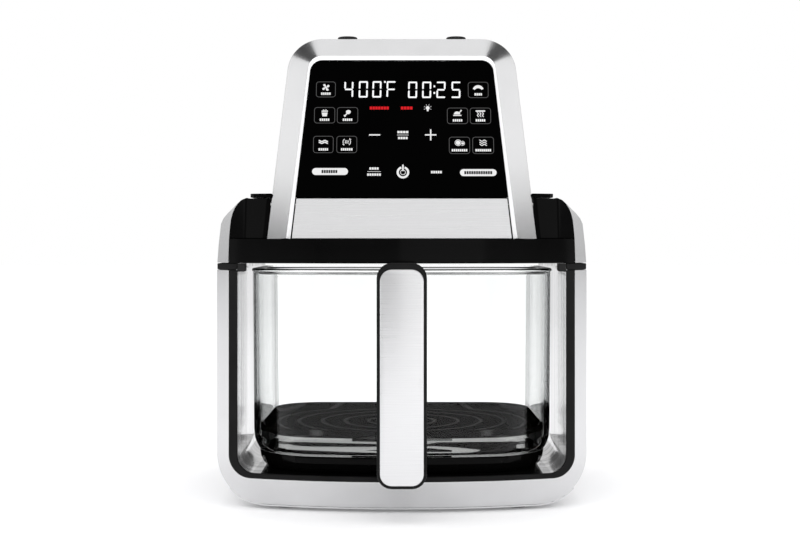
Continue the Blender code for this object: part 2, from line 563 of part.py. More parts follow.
def build_works(m):
    hole_radius = PAN_RADIUS + 0.0005
    sheet_low, sheet_high = HEAD_FLOOR + 0.0019, HEAD_FLOOR + 0.0029
    sheet = loft("ceiling_plate", prism_rings(plan(0.122, -0.1215, 0.102, 0.052), sheet_low, sheet_high),
                 m["steel"])
    lamp = (0.090, 0.070)
    cut_group(sheet, [rod_rings((0, FAN_Y, 0.21), (0, FAN_Y, 0.22), hole_radius, 36),
                      rod_rings((*lamp, 0.21), (*lamp, 0.22), 0.0084)])
    revolve("lamp_lens", [(0.001, 0.2140), (0.0070, 0.2140), (0.0080, 0.2150), (0.0080, 0.2162),
                          (0.0100, 0.2162), (0.0100, 0.2172), (0.001, 0.2172)],
            m["lens"], centre=lamp, sides=20)
    revolve("lamp_holder", [(0.002, 0.2176), (0.0095, 0.2176), (0.0095, 0.2230), (0.0070, 0.2260),
                            (0.0070, 0.2380), (0.002, 0.2380)], m["steel"], centre=lamp, sides=16)

    r, low, top = PAN_RADIUS, sheet_high + GAP, 0.2420
    profile = [(r + 0.008, low), (r + 0.008, low + 0.0008), (r + 0.0008, low + 0.0008),
               (r + 0.0008, top - 0.0024), (r - 0.002, top), (0.0080, top), (0.0080, top - 0.0008),
               (r - 0.0026, top - 0.0008), (r, top - 0.0030), (r, low)]
    pan = revolve("heat_pan", profile, m["steel"], centre=(0, FAN_Y), sides=36)

    turns, coil_low = 2.0, 0.2225
    path, steps = [], 56
    inner_r, outer_r, start_angle = 0.052, 0.079, 0.5 * pi
    for k in range(steps + 1):
        share = k / steps
        angle = start_angle + 2 * pi * turns * share
        radius = inner_r + (outer_r - inner_r) * share
        path.append(Vector((radius * cos(angle), FAN_Y + radius * sin(angle), coil_low)))
    end = path[-1] + Vector((-0.006, 0, 0.004))
    loft("heater_coil", tube_rings(path, 0.0031), m["heater"])

    radii = [0.0100, 0.0140, 0.0250, 0.0290, 0.0400, 0.0440, 0.0550, 0.0590, 0.0700, 0.0740,
             0.0830, 0.0885]
    sectors = 36

    def guard_point(i, j):
        angle = 2 * pi * j / sectors
        return radii[i] * cos(angle), FAN_Y + radii[i] * sin(angle)

    def guard_kept(i, j):
        return i % 2 == 0 or j % 6 == 0
    verts, faces, _ = cell_plate("fan_guard", len(radii) - 1, sectors, guard_kept, guard_point,
                                 (sheet_low + 0.0002, sheet_low + 0.0010), m["steel"], wrap=True,
                                 inner_cap=True)
    add_object("fan_guard", verts, faces, m["steel"])

    post_radius, bracket_low = 0.0030, 0.2590
    bracket = revolve("motor_bracket", [(0.0060, bracket_low), (0.0600, bracket_low),
                                        (0.0600, bracket_low + 0.0015), (0.0060, bracket_low + 0.0015)],
                      m["steel"], centre=(0, FAN_Y), sides=24)
    posts = []
    for k in range(4):
        angle = radians(45 + 90 * k)
        x, y = 0.0560 * cos(angle), FAN_Y + 0.0560 * sin(angle)
        posts.append(rod_rings((x, y, top + GAP), (x, y, bracket_low + 0.0008), post_radius, 8))
    boolean(bracket, posts, "UNION")
    revolve("motor_body", [(0.0034, 0.2608), (0.0300, 0.2608), (0.0320, 0.2630), (0.0320, 0.2860),
                           (0.0280, 0.2900), (0.0120, 0.2920), (0.0120, 0.2980), (0.0034, 0.2980)],
            m["steel"], centre=(0, FAN_Y), sides=28)

    angle = radians(215)
    spot = (0.074 * cos(angle), FAN_Y + 0.074 * sin(angle))
    loft("temperature_sensor", [disc(spot, radius, top + rise, 12) for rise, radius in (
        (GAP, 0.0075), (0.003, 0.0075), (0.003, 0.0035), (0.009, 0.0035))], m["rubber"])

    board_low = HEAD_FLOOR + 0.0040
    deck = board_low + 0.0010
    board = loft("power_board", box_rings((-0.115, 0.104, board_low), (-0.010, 0.150, board_low + 0.0016)),
                 m["pcb"])
    boolean(board, [box_rings((-0.108, 0.110, deck), (-0.078, 0.144, deck + 0.024)),
                    box_rings((-0.040, 0.112, deck), (-0.020, 0.140, deck + 0.016)),
                    rod_rings((-0.062, 0.116, deck), (-0.062, 0.116, deck + 0.022), 0.0075, 12),
                    rod_rings((-0.062, 0.138, deck), (-0.062, 0.138, deck + 0.018), 0.0065, 12)], "UNION")


def build_rotor(m, parent):
    axis = (0, FAN_Y)
    fan = revolve("convection_fan", [(0.0029, 0.2285), (0.0080, 0.2285), (0.0080, 0.2365), (0.0600, 0.2365),
                                     (0.0600, 0.2375), (0.0080, 0.2375), (0.0029, 0.2375)],
                  m["steel"], centre=axis, sides=32)
    cooler = revolve("cooling_fan", [(0.0029, 0.2460), (0.0100, 0.2460), (0.0100, 0.2535), (0.0420, 0.2535),
                                     (0.0420, 0.2545), (0.0029, 0.2545)],
                     m["black"], centre=axis, sides=28)
    for target, low, high, near, far, count in ((fan, 0.2292, 0.2370, 0.020, 0.058, 8),
                                                (cooler, 0.2470, 0.2540, 0.013, 0.040, 8)):
        for k in range(count):
            turn = Matrix.Translation((0, FAN_Y, 0)) @ Matrix.Rotation(2 * pi * k / count, 4, "Z")
            blade = [[turn @ p for p in ring]
                     for ring in box_rings((near, -0.0005, low), (far, 0.0005, high))]
            tool = loft(f"tool_{target.name}_blade_{k}", blade, target.data.materials[0])
            tool.hide_render = True
            tool.display_type = "WIRE"
            modifier = target.modifiers.new(f"blade_{k}", "BOOLEAN")
            modifier.operation = "UNION"
            modifier.solver = "EXACT"
            modifier.object = tool
    shaft = loft("motor_shaft", rod_rings((*axis, 0.2240), (*axis, 0.3010), 0.0025, 16), m["steel"])
    adopt(parent, fan, cooler, shaft)


# ---- drawer: bowl, carriage and handle

def build_drawer(m, parent):
    profile = [(0.0290, 0.0450), (0.0150, 0.0470), (0.0095, 0.0520), (0.0070, 0.0600), (0.0054, 0.2020),
               (0.0045, 0.2066), (0.0030, 0.2080), (0.0012, 0.2080), (0.0, 0.2068), (0.0, 0.2056),
               (0.0010, 0.2046), (0.0019, 0.0640), (0.0031, 0.0555), (0.0072, 0.0475),
               (0.0112, 0.0466), (0.0170, 0.0426), (0.0260, 0.0402)]
    bowl = loft("glass_bowl", [inset_plan(d, z) for d, z in profile], m["clear"])

    profile = [(0.0262, 0.0397), (0.0166, 0.0419), (0.0109, 0.0460), (0.0074, 0.0468), (0.0072, 0.0456),
               (0.0080, 0.0410), (0.0104, 0.0362), (0.0134, 0.0332), (0.0150, 0.0326), (0.0195, 0.0326),
               (0.0205, 0.0370)]
    carriage = loft("bowl_carriage", [inset_plan(d, z) for d, z in profile], m["gloss"])
    boss_front, screw_z = -0.1345, 0.0346
    boolean(carriage, [box_rings((-0.016, boss_front, 0.0326), (0.016, -0.1180, 0.0445)),
                       box_rings((-0.012, 0.0935, 0.0385), (0.012, 0.1070, 0.0425))], "UNION")
    bore = rod_rings((0, -0.152, screw_z), (0, -0.100, screw_z), 0.0015, 12)
    boolean(carriage, [bore])

    face = lambda inset, y, drop=0.0: [Vector((x, y, z)) for x, z in slab_outline(inset, drop)]
    drop = 0.0026
    body = loft("handle_body", [
        face(0.0024, FRONT_LIMIT + 0.0015, drop), face(0.0024, FRONT_LIMIT + 0.0005, drop),
        face(0.0014, FRONT_LIMIT + 0.0005), face(0.0004, FRONT_LIMIT + 0.0010),
        face(0.0, FRONT_LIMIT + 0.0022), face(0.0, -0.1635), face(0.0008, -0.1620),
        face(0.0024, -0.1612)], m["black"])
    arm_end = boss_front - GAP
    boolean(body, [box_rings((-0.0150, -0.1660, 0.0322), (0.0150, arm_end, 0.0470)),
                   box_rings((-0.0125, -0.1660, 0.1900), (0.0125, arm_end, 0.2035))], "UNION")
    boolean(body, [bore])
    plate = loft("handle_plate", [
        face(0.0027, FRONT_LIMIT + 0.0012, drop), face(0.0027, FRONT_LIMIT + 0.0003, drop),
        face(0.0031, FRONT_LIMIT, drop)], m["brushed"])
    pad = loft("handle_pad", box_rings((-0.0115, arm_end + GAP, 0.1910), (0.0115, RIM_FRONT - 0.0002, 0.2025)),
               m["rubber"])
    screw = loft("handle_screw", rod_rings((0, -0.1055, screw_z), (0, -0.1077, screw_z), 0.0020, 12)
                 + rod_rings((0, -0.1077, screw_z), (0, -0.1510, screw_z), 0.0012, 12), m["steel"])
    adopt(parent, bowl, carriage, body, plate, pad, screw)


def slab_outline(inset, drop=0.0):
    """Front view of the upright handle, inset evenly and lowered at its top by drop."""
    half, low, high = HANDLE_HALF - inset, HANDLE_LOW + inset, HANDLE_HIGH - inset - drop
    r = HANDLE_CORNER - inset
    points = arc(half - r, low + r, r, 1.5 * pi, 2 * pi) + arc(half - r, high - r, r, 0, 0.5 * pi)
    points += arc(-half + r, high - r, r, 0.5 * pi, pi) + arc(-half + r, low + r, r, pi, 1.5 * pi)
    return points


# ---- crisper tray

def build_tray(m, parent):
    plate_inset, plate_low, plate_high = 0.0163, 0.0625, 0.0640
    edge = [(p.x, p.y) for p in inset_plan(plate_inset)]
    cols = len(edge)
    centre_y = (RIM_FRONT + RIM_REAR) / 2
    scale = [0.14, 0.24, 0.30, 0.42, 0.48, 0.60, 0.66, 0.78, 0.84, 0.92, 1.0]
    rows = len(scale) - 1
    wave = 0.022

    def tray_point(i, j):
        x, y = edge[j]
        share = scale[i]
        if 0 < i < rows:
            share += wave * sin(2 * pi * 8 * j / cols) * min(1, 4 * (1 - scale[i]) + 0.3)
        return x * share, centre_y + (y - centre_y) * share

    def tray_kept(i, j):
        slot_row = i in (1, 3, 5, 7)
        return not slot_row or (j + i) % 5 == 0
    verts, faces, index = cell_plate("crisper_tray", rows, cols, tray_kept, tray_point,
                                     (plate_low, plate_high), m["tray"], wrap=True, inner_cap=True)
    # The plate's outer wall is replaced by the raised rim.
    top_ring = [index[(rows, j, True)] for j in range(cols)]
    low_ring = [index[(rows, j, False)] for j in range(cols)]
    border = set(top_ring) | set(low_ring)
    faces = [f for f in faces if not (len(f) == 4 and set(f) <= border)]
    rim = [(0.0122, 0.0672), (0.0104, 0.0694), (0.0092, 0.0701), (0.0082, 0.0699), (0.0078, 0.0690),
           (0.0078, 0.0656), (0.0088, 0.0651), (0.0120, 0.0651)]
    rings = [top_ring]
    for inset, z in rim:
        rings.append([len(verts) + k for k in range(cols)])
        verts += [tuple(p) for p in inset_plan(inset, z)]
    rings.append(low_ring)
    for near, far in zip(rings, rings[1:]):
        faces += [[near[k], near[(k + 1) % cols], far[(k + 1) % cols], far[k]] for k in range(cols)]
    tray = add_object("crisper_tray", verts, faces, m["tray"])

    bumpers = []
    for side, name in ((-1, "tray_bumper_left"), (1, "tray_bumper_right")):
        block = [(0.0165, 0.0620), (0.0165, 0.0512), (0.0145, 0.0514), (0.0097, 0.0572),
                 (0.0093, 0.0645), (0.0119, 0.0645)]
        web = [(0.0165, 0.0620), (0.0165, 0.0590), (0.0135, 0.0590), (0.0119, 0.0620)]
        block = [(side * (RIM_HALF - inset), z) for inset, z in block]
        web = [(side * (RIM_HALF - inset), z) for inset, z in web]
        strip = loft(name, prism_rings(block, -0.060, -0.015, "Y"), m["rubber"])
        bumpers.append(boolean(strip, [prism_rings(block, 0.000, 0.045, "Y"),
                                       prism_rings(web, -0.020, 0.005, "Y")], "UNION"))
    adopt(parent, tray, *bumpers)


def build_plunger(m, parent):
    rod = loft("interlock_plunger", rod_rings((0, 0.1073, 0.0415), (0, 0.1185, 0.0415), 0.0030),
               m["steel"])
    adopt(parent, rod)


def joint_frame(name, location):
    empty = bpy.data.objects.new(name, None)
    empty.location = location
    bpy.context.scene.collection.objects.link(empty)
    bpy.context.view_layer.update()
    return empty


def adopt(parent, *children):
    for child in children:
        child.parent = parent
        child.matrix_parent_inverse = parent.matrix_world.inverted()


def main():
    for obj in list(bpy.data.objects):
        bpy.data.objects.remove(obj, do_unlink=True)
    m = {
        "silver": material("satin_silver", (0.62, 0.62, 0.63), 0.28, 0.9),
        "liner": material("bright_liner", (0.78, 0.78, 0.79), 0.14, 1.0),
        "brushed": material("brushed_steel", (0.60, 0.60, 0.60), 0.30, 1.0),
        "steel": material("sheet_steel", (0.55, 0.55, 0.56), 0.35, 1.0),
        "black": material("satin_black", (0.018, 0.018, 0.019), 0.38),
        "gloss": material("gloss_black", (0.010, 0.010, 0.011), 0.10),
        "glass_black": material("panel_glass", (0.004, 0.004, 0.004), 0.05),
        "clear": material("clear_glass", (0.98, 0.99, 0.99), 0.02, 0.0, 1.0),
        "lens": material("lamp_glass", (0.95, 0.95, 0.90), 0.10, 0.0, 1.0),
        "rubber": material("dark_rubber", (0.030, 0.030, 0.032), 0.70),
        "tray": material("tray_coating", (0.016, 0.016, 0.017), 0.30),
        "heater": material("heater_sheath", (0.14, 0.13, 0.12), 0.50, 0.8),
        "pcb": material("circuit_board", (0.02, 0.12, 0.05), 0.50),
        "ribbon": material("ribbon_insulation", (0.45, 0.45, 0.48), 0.55),
    }
    build_cradle(m)
    build_head(m)
    build_tower(m)
    build_works(m)
    build_rotor(m, joint_frame("fan_axis", (0, FAN_Y, 0.24)))
    drawer = joint_frame("drawer_frame", (0, RIM_FRONT, BAY_FLOOR))
    build_drawer(m, drawer)
    build_tray(m, joint_frame("tray_frame", (0, 0, 0.0625)))
    build_plunger(m, joint_frame("plunger_frame", (0, 0.1073, 0.0415)))


main()
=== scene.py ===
"""Looks of a glass-bowl air fryer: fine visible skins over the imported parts, materials, light and camera."""
import json
from math import cos, hypot, pi, radians, sin, sqrt

import bmesh
import bpy
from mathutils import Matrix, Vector


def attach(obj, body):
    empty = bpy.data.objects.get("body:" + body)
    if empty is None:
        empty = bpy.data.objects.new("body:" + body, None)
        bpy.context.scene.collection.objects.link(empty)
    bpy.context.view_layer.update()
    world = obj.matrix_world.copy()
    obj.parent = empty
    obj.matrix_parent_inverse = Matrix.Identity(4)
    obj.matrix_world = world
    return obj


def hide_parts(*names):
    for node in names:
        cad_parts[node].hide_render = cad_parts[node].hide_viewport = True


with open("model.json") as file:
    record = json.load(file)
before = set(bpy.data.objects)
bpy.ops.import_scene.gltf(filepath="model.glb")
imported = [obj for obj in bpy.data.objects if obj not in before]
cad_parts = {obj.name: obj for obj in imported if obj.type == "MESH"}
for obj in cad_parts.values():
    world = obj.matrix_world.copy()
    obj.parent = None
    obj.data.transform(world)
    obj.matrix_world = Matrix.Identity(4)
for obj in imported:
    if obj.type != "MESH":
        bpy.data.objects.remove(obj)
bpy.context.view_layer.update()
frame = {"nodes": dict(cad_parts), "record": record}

# Driving dimensions in metres, the same as the parts have
GAP, SHEET = 0.0003, 0.002
HALF_WIDTH, FRONT, HEAD_REAR, FRONT_LIMIT = 0.162, -0.130, 0.160, -0.175
BOW_RADIUS, BEVEL = 0.400, 0.008
SHELL_FLOOR, SHELL_CORNER = 0.0045, 0.042
TRIM_HALF, TRIM_FLOOR, TRIM_CORNER = 0.1498, 0.0280, 0.019
BAY_HALF, BAY_FLOOR, BAY_CORNER = 0.1423, 0.0320, 0.015
CRADLE_TOP, HEAD_FLOOR, BAND_TOP, SHOULDER_TOP = 0.2070, 0.2130, 0.2341, 0.2692
SHOULDER_LEAN, TOWER_LEAN = radians(15), radians(13)
TOWER_FOOT, TOWER_TOP, PANEL_TAPER = Vector((0, -0.111, 0.2344)), 0.4125, 0.0975
BEZEL_FOOT, BEZEL_TAPER, BEZEL_RIDGE, BEZEL_CORNER = 0.1168, 0.0980, 0.0995, 0.031
BADGE_HALF, BADGE_LOW, BADGE_HIGH = 0.0949, 0.0003, 0.0359
RIM_HALF, RIM_FRONT, RIM_REAR, RIM_CORNER = 0.1348, -0.1285, 0.1080, 0.055
HANDLE_HALF, HANDLE_LOW, HANDLE_HIGH, HANDLE_CORNER = 0.02065, 0.0291, 0.2142, 0.0125
TRAY_INSET, TRAY_UNDERSIDE, TRAY_TOP = 0.0163, 0.0625, 0.0640
TRAY_BANDS, SLOT_LENGTH, TRAY_WAVES, WAVE_SHARE = 42, 0.009, 11, 0.016
ARC_STEPS, BOW_STEPS = 14, 24
SIDES = ((-1, "left"), (1, "right"))

# How bright the room is in reflections, and where the marks lie over the tower's outer face
FRONT_ROOM, DARK_CEILING, BACK_ROOM = 0.30, 0.04, 0.95
MARK_LIFT, CAPTION_LIFT = -0.00118, -0.00112


# ---- geometry helpers

def bow(x):
    """How far the bowed front lies behind its foremost line."""
    return BOW_RADIUS - sqrt(BOW_RADIUS ** 2 - x * x)


def arc(cx, cy, radius, start, end, steps=ARC_STEPS):
    """Points along part of a circle."""
    angles = [start + (end - start) * k / steps for k in range(steps + 1)]
    return [(cx + radius * cos(a), cy + radius * sin(a)) for a in angles]


def u_outline(half, floor, corner, top):
    """An upright U from its left end over the floor to its right end."""
    run = half - corner
    flat = [(run * (2 * k / BOW_STEPS - 1), floor) for k in range(1, BOW_STEPS)]
    left = arc(-run, floor + corner, corner, pi, 1.5 * pi)
    right = arc(run, floor + corner, corner, 1.5 * pi, 2 * pi)
    return [(-half, top)] + left + flat + right + [(half, top)]


def plan(half, front, rear, corner):
    """The bowl's outline seen from above, with a bowed front."""
    run = half - corner
    line = [(run * (2 * k / BOW_STEPS - 1), front) for k in range(1, BOW_STEPS)]
    near = arc(-run, front + corner, corner, pi, 1.5 * pi) + line
    near += arc(run, front + corner, corner, 1.5 * pi, 2 * pi)
    near = [(x, y + bow(x)) for x, y in near]
    far = arc(run, rear - corner, corner, 0, 0.5 * pi)
    far += arc(-run, rear - corner, corner, 0.5 * pi, pi)
    return near + far


def inset_plan(inset, rise=0.0):
    outline = plan(RIM_HALF - inset, RIM_FRONT + inset, RIM_REAR - inset, RIM_CORNER - inset)
    return [Vector((x, y, rise)) for x, y in outline]


def fillet(before, corner, after, radius):
    """Points that round the corner between two straight lines."""
    corner = Vector(corner)
    back = (Vector(before) - corner).normalized()
    ahead = (Vector(after) - corner).normalized()
    half_angle = back.angle(ahead) / 2
    reach = radius * cos(half_angle) / sin(half_angle)
    centre = corner + (back + ahead).normalized() * radius / sin(half_angle)
    first, last = corner + back * reach - centre, corner + ahead * reach - centre
    spread = first.angle(last)
    shares = [k / ARC_STEPS for k in range(ARC_STEPS + 1)]
    return [tuple(centre + (first * sin(spread * (1 - t)) + last * sin(spread * t)) / sin(spread))
            for t in shares]


def tower_point(u, v, w):
    """A point of the leaning tower: u across, v up along its face, w out of it."""
    c, s = cos(TOWER_LEAN), sin(TOWER_LEAN)
    return TOWER_FOOT + Vector((u, v * s - w * c, v * c + w * s))


def tower_top(w):
    """The v that has the height of the tower's top at depth w."""
    return (TOWER_TOP - TOWER_FOOT.z - w * sin(TOWER_LEAN)) / cos(TOWER_LEAN)


def arch(half, taper, top, corner, low=0.0):
    """A tapering outline with two round upper corners, open at the foot."""
    at = lambda v: half - taper * v
    feet, peaks = ((-at(low), low), (at(low), low)), ((-at(top), top), (at(top), top))
    left = fillet(feet[0], peaks[0], peaks[1], corner)
    return [feet[0]] + left + fillet(peaks[0], peaks[1], feet[1], corner) + [feet[1]]


def spline(points, steps=4):
    """A smooth curve through 2-D points, for turned profiles."""
    out = []
    for k in range(len(points) - 1):
        p0, p1 = points[max(k - 1, 0)], points[k]
        p2, p3 = points[k + 1], points[min(k + 2, len(points) - 1)]
        for n in range(steps):
            t = n / steps
            out.append(tuple(0.5 * (2 * b + (c - a) * t + (2 * a - 5 * b + 4 * c - d) * t * t
                                    + (3 * b - a - 3 * c + d) * t ** 3)
                             for a, b, c, d in zip(p0, p1, p2, p3)))
    return out + [points[-1]]


def add_object(name, verts, faces, material, bevel=0.0, segments=2, smooth=32):
    """A smooth-shaded mesh, with its edges rounded or else kept sharp above the smooth angle."""
    mesh = bpy.data.meshes.new(name)
    mesh.from_pydata([tuple(v) for v in verts], [], faces)
    bm = bmesh.new()
    bm.from_mesh(mesh)
    bmesh.ops.recalc_face_normals(bm, faces=bm.faces)
    bm.to_mesh(mesh)
    bm.free()
    mesh.shade_smooth()
    obj = bpy.data.objects.new(name, mesh)
    bpy.context.scene.collection.objects.link(obj)
    mesh.materials.append(material)
    if bevel:
        modifier = obj.modifiers.new("edge_round", "BEVEL")
        modifier.width, modifier.segments = bevel, segments
        modifier.limit_method, modifier.angle_limit = "ANGLE", radians(smooth)
        modifier.harden_normals = True
    else:
        mesh.set_sharp_from_angle(angle=radians(smooth))
    return obj


def loft_data(rings, closed):
    count, size = len(rings), len(rings[0])
    verts = [Vector(p) for ring in rings for p in ring]
    faces = []
    for i in range(count if closed else count - 1):
        j = (i + 1) % count
        for k in range(size):
            m = (k + 1) % size
            faces.append([i * size + k, i * size + m, j * size + m, j * size + k])
    if not closed:
        faces.append(list(range(size))[::-1])
        faces.append([(count - 1) * size + k for k in range(size)])
    return verts, faces


def loft(name, rings, material, closed=False, **shape):
    """A closed solid through rings of the same length."""
    return add_object(name, *loft_data(rings, closed), material, **shape)


def u_sweep(name, stations, top, material, **shape):
    """A U-shaped casing: each station is (half, floor, corner, y, bowed)."""
    skins = []
    for half, floor, corner, y, bowed in stations:
        outline = u_outline(half, floor, corner, top)
        skins.append([Vector((x, y + (bow(x) if bowed else 0), z)) for x, z in outline])
    return loft(name, [list(section) for section in zip(*skins)], material, **shape)


def prism_rings(outline, low, high):
    return [[Vector((x, y, z)) for x, y in outline] for z in (low, high)]


def stands_for(obj, body, slot, *nodes):
    """Let a visible piece ride on a body and take the place of its plain solids."""
    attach(obj, body)
    if nodes:
        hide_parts(*nodes)
    return obj


# ---- materials: every one is procedural

def shader_of(name):
    mat = bpy.data.materials.new(name)
    mat.use_nodes = True
    return mat, mat.node_tree, mat.node_tree.nodes["Principled BSDF"]


def noise_node(tree, scale, stretch=(1, 1, 1), detail=3.0):
    """Noise in object space, in metres, stretched per axis."""
    coord = tree.nodes.new("ShaderNodeTexCoord")
    mapping = tree.nodes.new("ShaderNodeMapping")
    mapping.inputs["Scale"].default_value = stretch
    noise = tree.nodes.new("ShaderNodeTexNoise")
    noise.inputs["Scale"].default_value = scale
    noise.inputs["Detail"].default_value = detail
    noise.inputs["Roughness"].default_value = 0.5
    tree.links.new(coord.outputs["Object"], mapping.inputs["Vector"])
    tree.links.new(mapping.outputs["Vector"], noise.inputs["Vector"])
    return noise


def spread(tree, source, low, high):
    """Map a noise's middle range to low..high."""
    node = tree.nodes.new("ShaderNodeMapRange")
    node.inputs["From Min"].default_value, node.inputs["From Max"].default_value = 0.3, 0.7
    node.inputs["To Min"].default_value, node.inputs["To Max"].default_value = low, high
    tree.links.new(source.outputs["Fac"], node.inputs["Value"])
    return node


def tint(tree, source, dark, light):
    """Map a noise's middle range to two colours."""
    ramp = tree.nodes.new("ShaderNodeValToRGB")
    ramp.color_ramp.elements[0].position, ramp.color_ramp.elements[1].position = 0.3, 0.7
    ramp.color_ramp.elements[0].color = (*dark, 1)
    ramp.color_ramp.elements[1].color = (*light, 1)
    tree.links.new(source.outputs["Fac"], ramp.inputs["Fac"])
    return ramp


def bump(tree, shader, source, strength, distance):
    node = tree.nodes.new("ShaderNodeBump")
    node.inputs["Strength"].default_value = strength
    node.inputs["Distance"].default_value = distance
    tree.links.new(source.outputs["Fac"], node.inputs["Height"])
    tree.links.new(node.outputs["Normal"], shader.inputs["Normal"])


def surface(name, dark, light, rough, metallic=0.0, scale=60, stretch=(1, 1, 1), grain=0.0,
            grain_scale=900, specular=0.5, detail=3.0):
    """A surface whose colour and roughness wander a little, with a fine grain in relief."""
    mat, tree, shader = shader_of(name)
    noise = noise_node(tree, scale, stretch, detail)
    tree.links.new(tint(tree, noise, dark, light).outputs["Color"], shader.inputs["Base Color"])
    tree.links.new(spread(tree, noise, *rough).outputs["Result"], shader.inputs["Roughness"])
    shader.inputs["Metallic"].default_value = metallic
    shader.inputs["Specular IOR Level"].default_value = specular
    if grain:
        bump(tree, shader, noise_node(tree, grain_scale, stretch, 2.0), grain, 0.0002)
    mat.diffuse_color = (*light, 1)
    return mat


def ringed_with_painted_highlights(name, dark, light, rough):
    """A black coating with thin, wavy, paler rings around the middle: painted highlights on the ridges its
    bump raises, since it has no specular reflection.
    """
    mat, tree, shader = shader_of(name)
    coord, wave = tree.nodes.new("ShaderNodeTexCoord"), tree.nodes.new("ShaderNodeTexWave")
    wave.wave_type, wave.rings_direction, wave.wave_profile = "RINGS", "Z", "SIN"
    for key, value in (("Scale", 15), ("Distortion", 1.6), ("Detail", 2.0), ("Detail Scale", 0.8)):
        wave.inputs[key].default_value = value
    tree.links.new(coord.outputs["Object"], wave.inputs["Vector"])
    painted_ring_colours = tint(tree, wave, dark, light)
    painted_ring_colours.color_ramp.elements[0].position, painted_ring_colours.color_ramp.elements[1].position = 0.86, 1.0
    tree.links.new(painted_ring_colours.outputs["Color"], shader.inputs["Base Color"])
    tree.links.new(spread(tree, wave, *rough).outputs["Result"], shader.inputs["Roughness"])
    shader.inputs["Specular IOR Level"].default_value = 0.0
    bump(tree, shader, wave, 0.3, 0.0003)
    return mat


def clear_glass(name, colour, roughness):
    """Glass whose mirror images are weak face on and full at a grazing angle."""
    mat, tree, shader = shader_of(name)
    noise = noise_node(tree, 14, (1, 1, 0.4))
    tree.links.new(tint(tree, noise, [0.985 * c for c in colour], colour).outputs["Color"],
                   shader.inputs["Base Color"])
    shader.inputs["Roughness"].default_value = roughness
    shader.inputs["Transmission Weight"].default_value = 1.0
    shader.inputs["IOR"].default_value = 1.45
    shader.inputs["Specular Tint"].default_value = (0.3, 0.3, 0.3, 1)
    return mat


def glowing(name, colour, strength):
    """A mark that shines by itself: the lit display, or a printed mark whose glow is painted light."""
    mat, tree, shader = shader_of(name)
    noise = noise_node(tree, 40)
    light = tint(tree, noise, [0.94 * c for c in colour], colour)
    shader.inputs["Base Color"].default_value = (0.01, 0.01, 0.01, 1)
    shader.inputs["Roughness"].default_value = 0.5
    shader.inputs["Specular IOR Level"].default_value = 0.0
    tree.links.new(light.outputs["Color"], shader.inputs["Emission Color"])
    shader.inputs["Emission Strength"].default_value = strength
    return mat


def grey(value):
    return (value, value, value * 1.01)


def make_materials():
    return {
        "satin_silver": surface("satin_silver", grey(0.64), grey(0.68), (0.15, 0.19), 0.97,
                                scale=30, grain=0.02, grain_scale=1400),
        # Near-white, hardly metallic silver for the bezel's inner step: a painted highlight along that edge.
        "silver_painted_highlight": surface("silver_painted_highlight", grey(0.93), grey(0.96), (0.30, 0.36), 0.15, scale=40),
        # The liner's colour runs in tall streaks from dark to pale grey: painted reflections, over a gentle
        # relief from its bump.
        "bright_liner": surface("bright_liner", grey(0.20), grey(0.74), (0.05, 0.14), 1.0,
                                scale=34, stretch=(1, 2.4, 0.06), grain=0.10, grain_scale=14, detail=4),
        "brushed_steel": surface("brushed_steel", grey(0.68), grey(0.80), (0.26, 0.38), 0.95,
                                 scale=520, stretch=(0.02, 1, 5), grain=0.12, grain_scale=900, detail=6),
        "sheet_steel": surface("sheet_steel", grey(0.50), grey(0.60), (0.30, 0.42), 1.0,
                               scale=40, stretch=(0.1, 1, 1), grain=0.10, grain_scale=500),
        "satin_black": surface("satin_black", grey(0.007), grey(0.010), (0.34, 0.44), scale=50,
                               grain=0.16, grain_scale=1600, specular=0.07),
        "gloss_black": surface("gloss_black", grey(0.0015), grey(0.0022), (0.08, 0.12), scale=22,
                               grain=0.015, grain_scale=60, specular=0.06),
        "panel_glass": surface("panel_glass", grey(0.0002), grey(0.0004), (0.05, 0.08), scale=20,
                               grain=0.01, grain_scale=50, specular=0.008),
        "clear_glass": clear_glass("clear_glass", (0.99, 1.0, 0.995), 0.0),
        "lamp_glass": clear_glass("lamp_glass", (0.95, 0.95, 0.90), 0.25),
        "dark_rubber": surface("dark_rubber", grey(0.012), grey(0.020), (0.60, 0.75), scale=80,
                               grain=0.35, grain_scale=1800, specular=0.15),
        # The tray's pale rings are painted highlights.
        "tray_coating": ringed_with_painted_highlights("tray_coating", grey(0.0010), grey(0.080), (0.30, 0.42)),
        "heater_sheath": surface("heater_sheath", (0.07, 0.06, 0.055), (0.16, 0.14, 0.12), (0.4, 0.55),
                                 0.8, scale=70, grain=0.25),
        "circuit_board": surface("circuit_board", (0.010, 0.075, 0.030), (0.020, 0.110, 0.045),
                                 (0.35, 0.5), scale=130, grain=0.15, grain_scale=700),
        "ribbon_insulation": surface("ribbon_insulation", grey(0.34), grey(0.42), (0.45, 0.6),
                                     scale=300, stretch=(12, 0.1, 0.1), grain=0.3, grain_scale=300),
        "display_white": glowing("display_white", (0.98, 0.99, 1.0), 1.05),
        # print_white, print_grey and print_red are printed marks given a painted glow.
        "print_white": glowing("print_white", (0.95, 0.95, 0.95), 0.92),
        "print_grey": glowing("print_grey", (0.11, 0.11, 0.11), 0.75),
        "print_red": glowing("print_red", (0.80, 0.004, 0.010), 0.9),
        "print_black": surface("print_black", grey(0.010), grey(0.014), (0.4, 0.5), specular=0.1),
    }


# ---- cradle skins

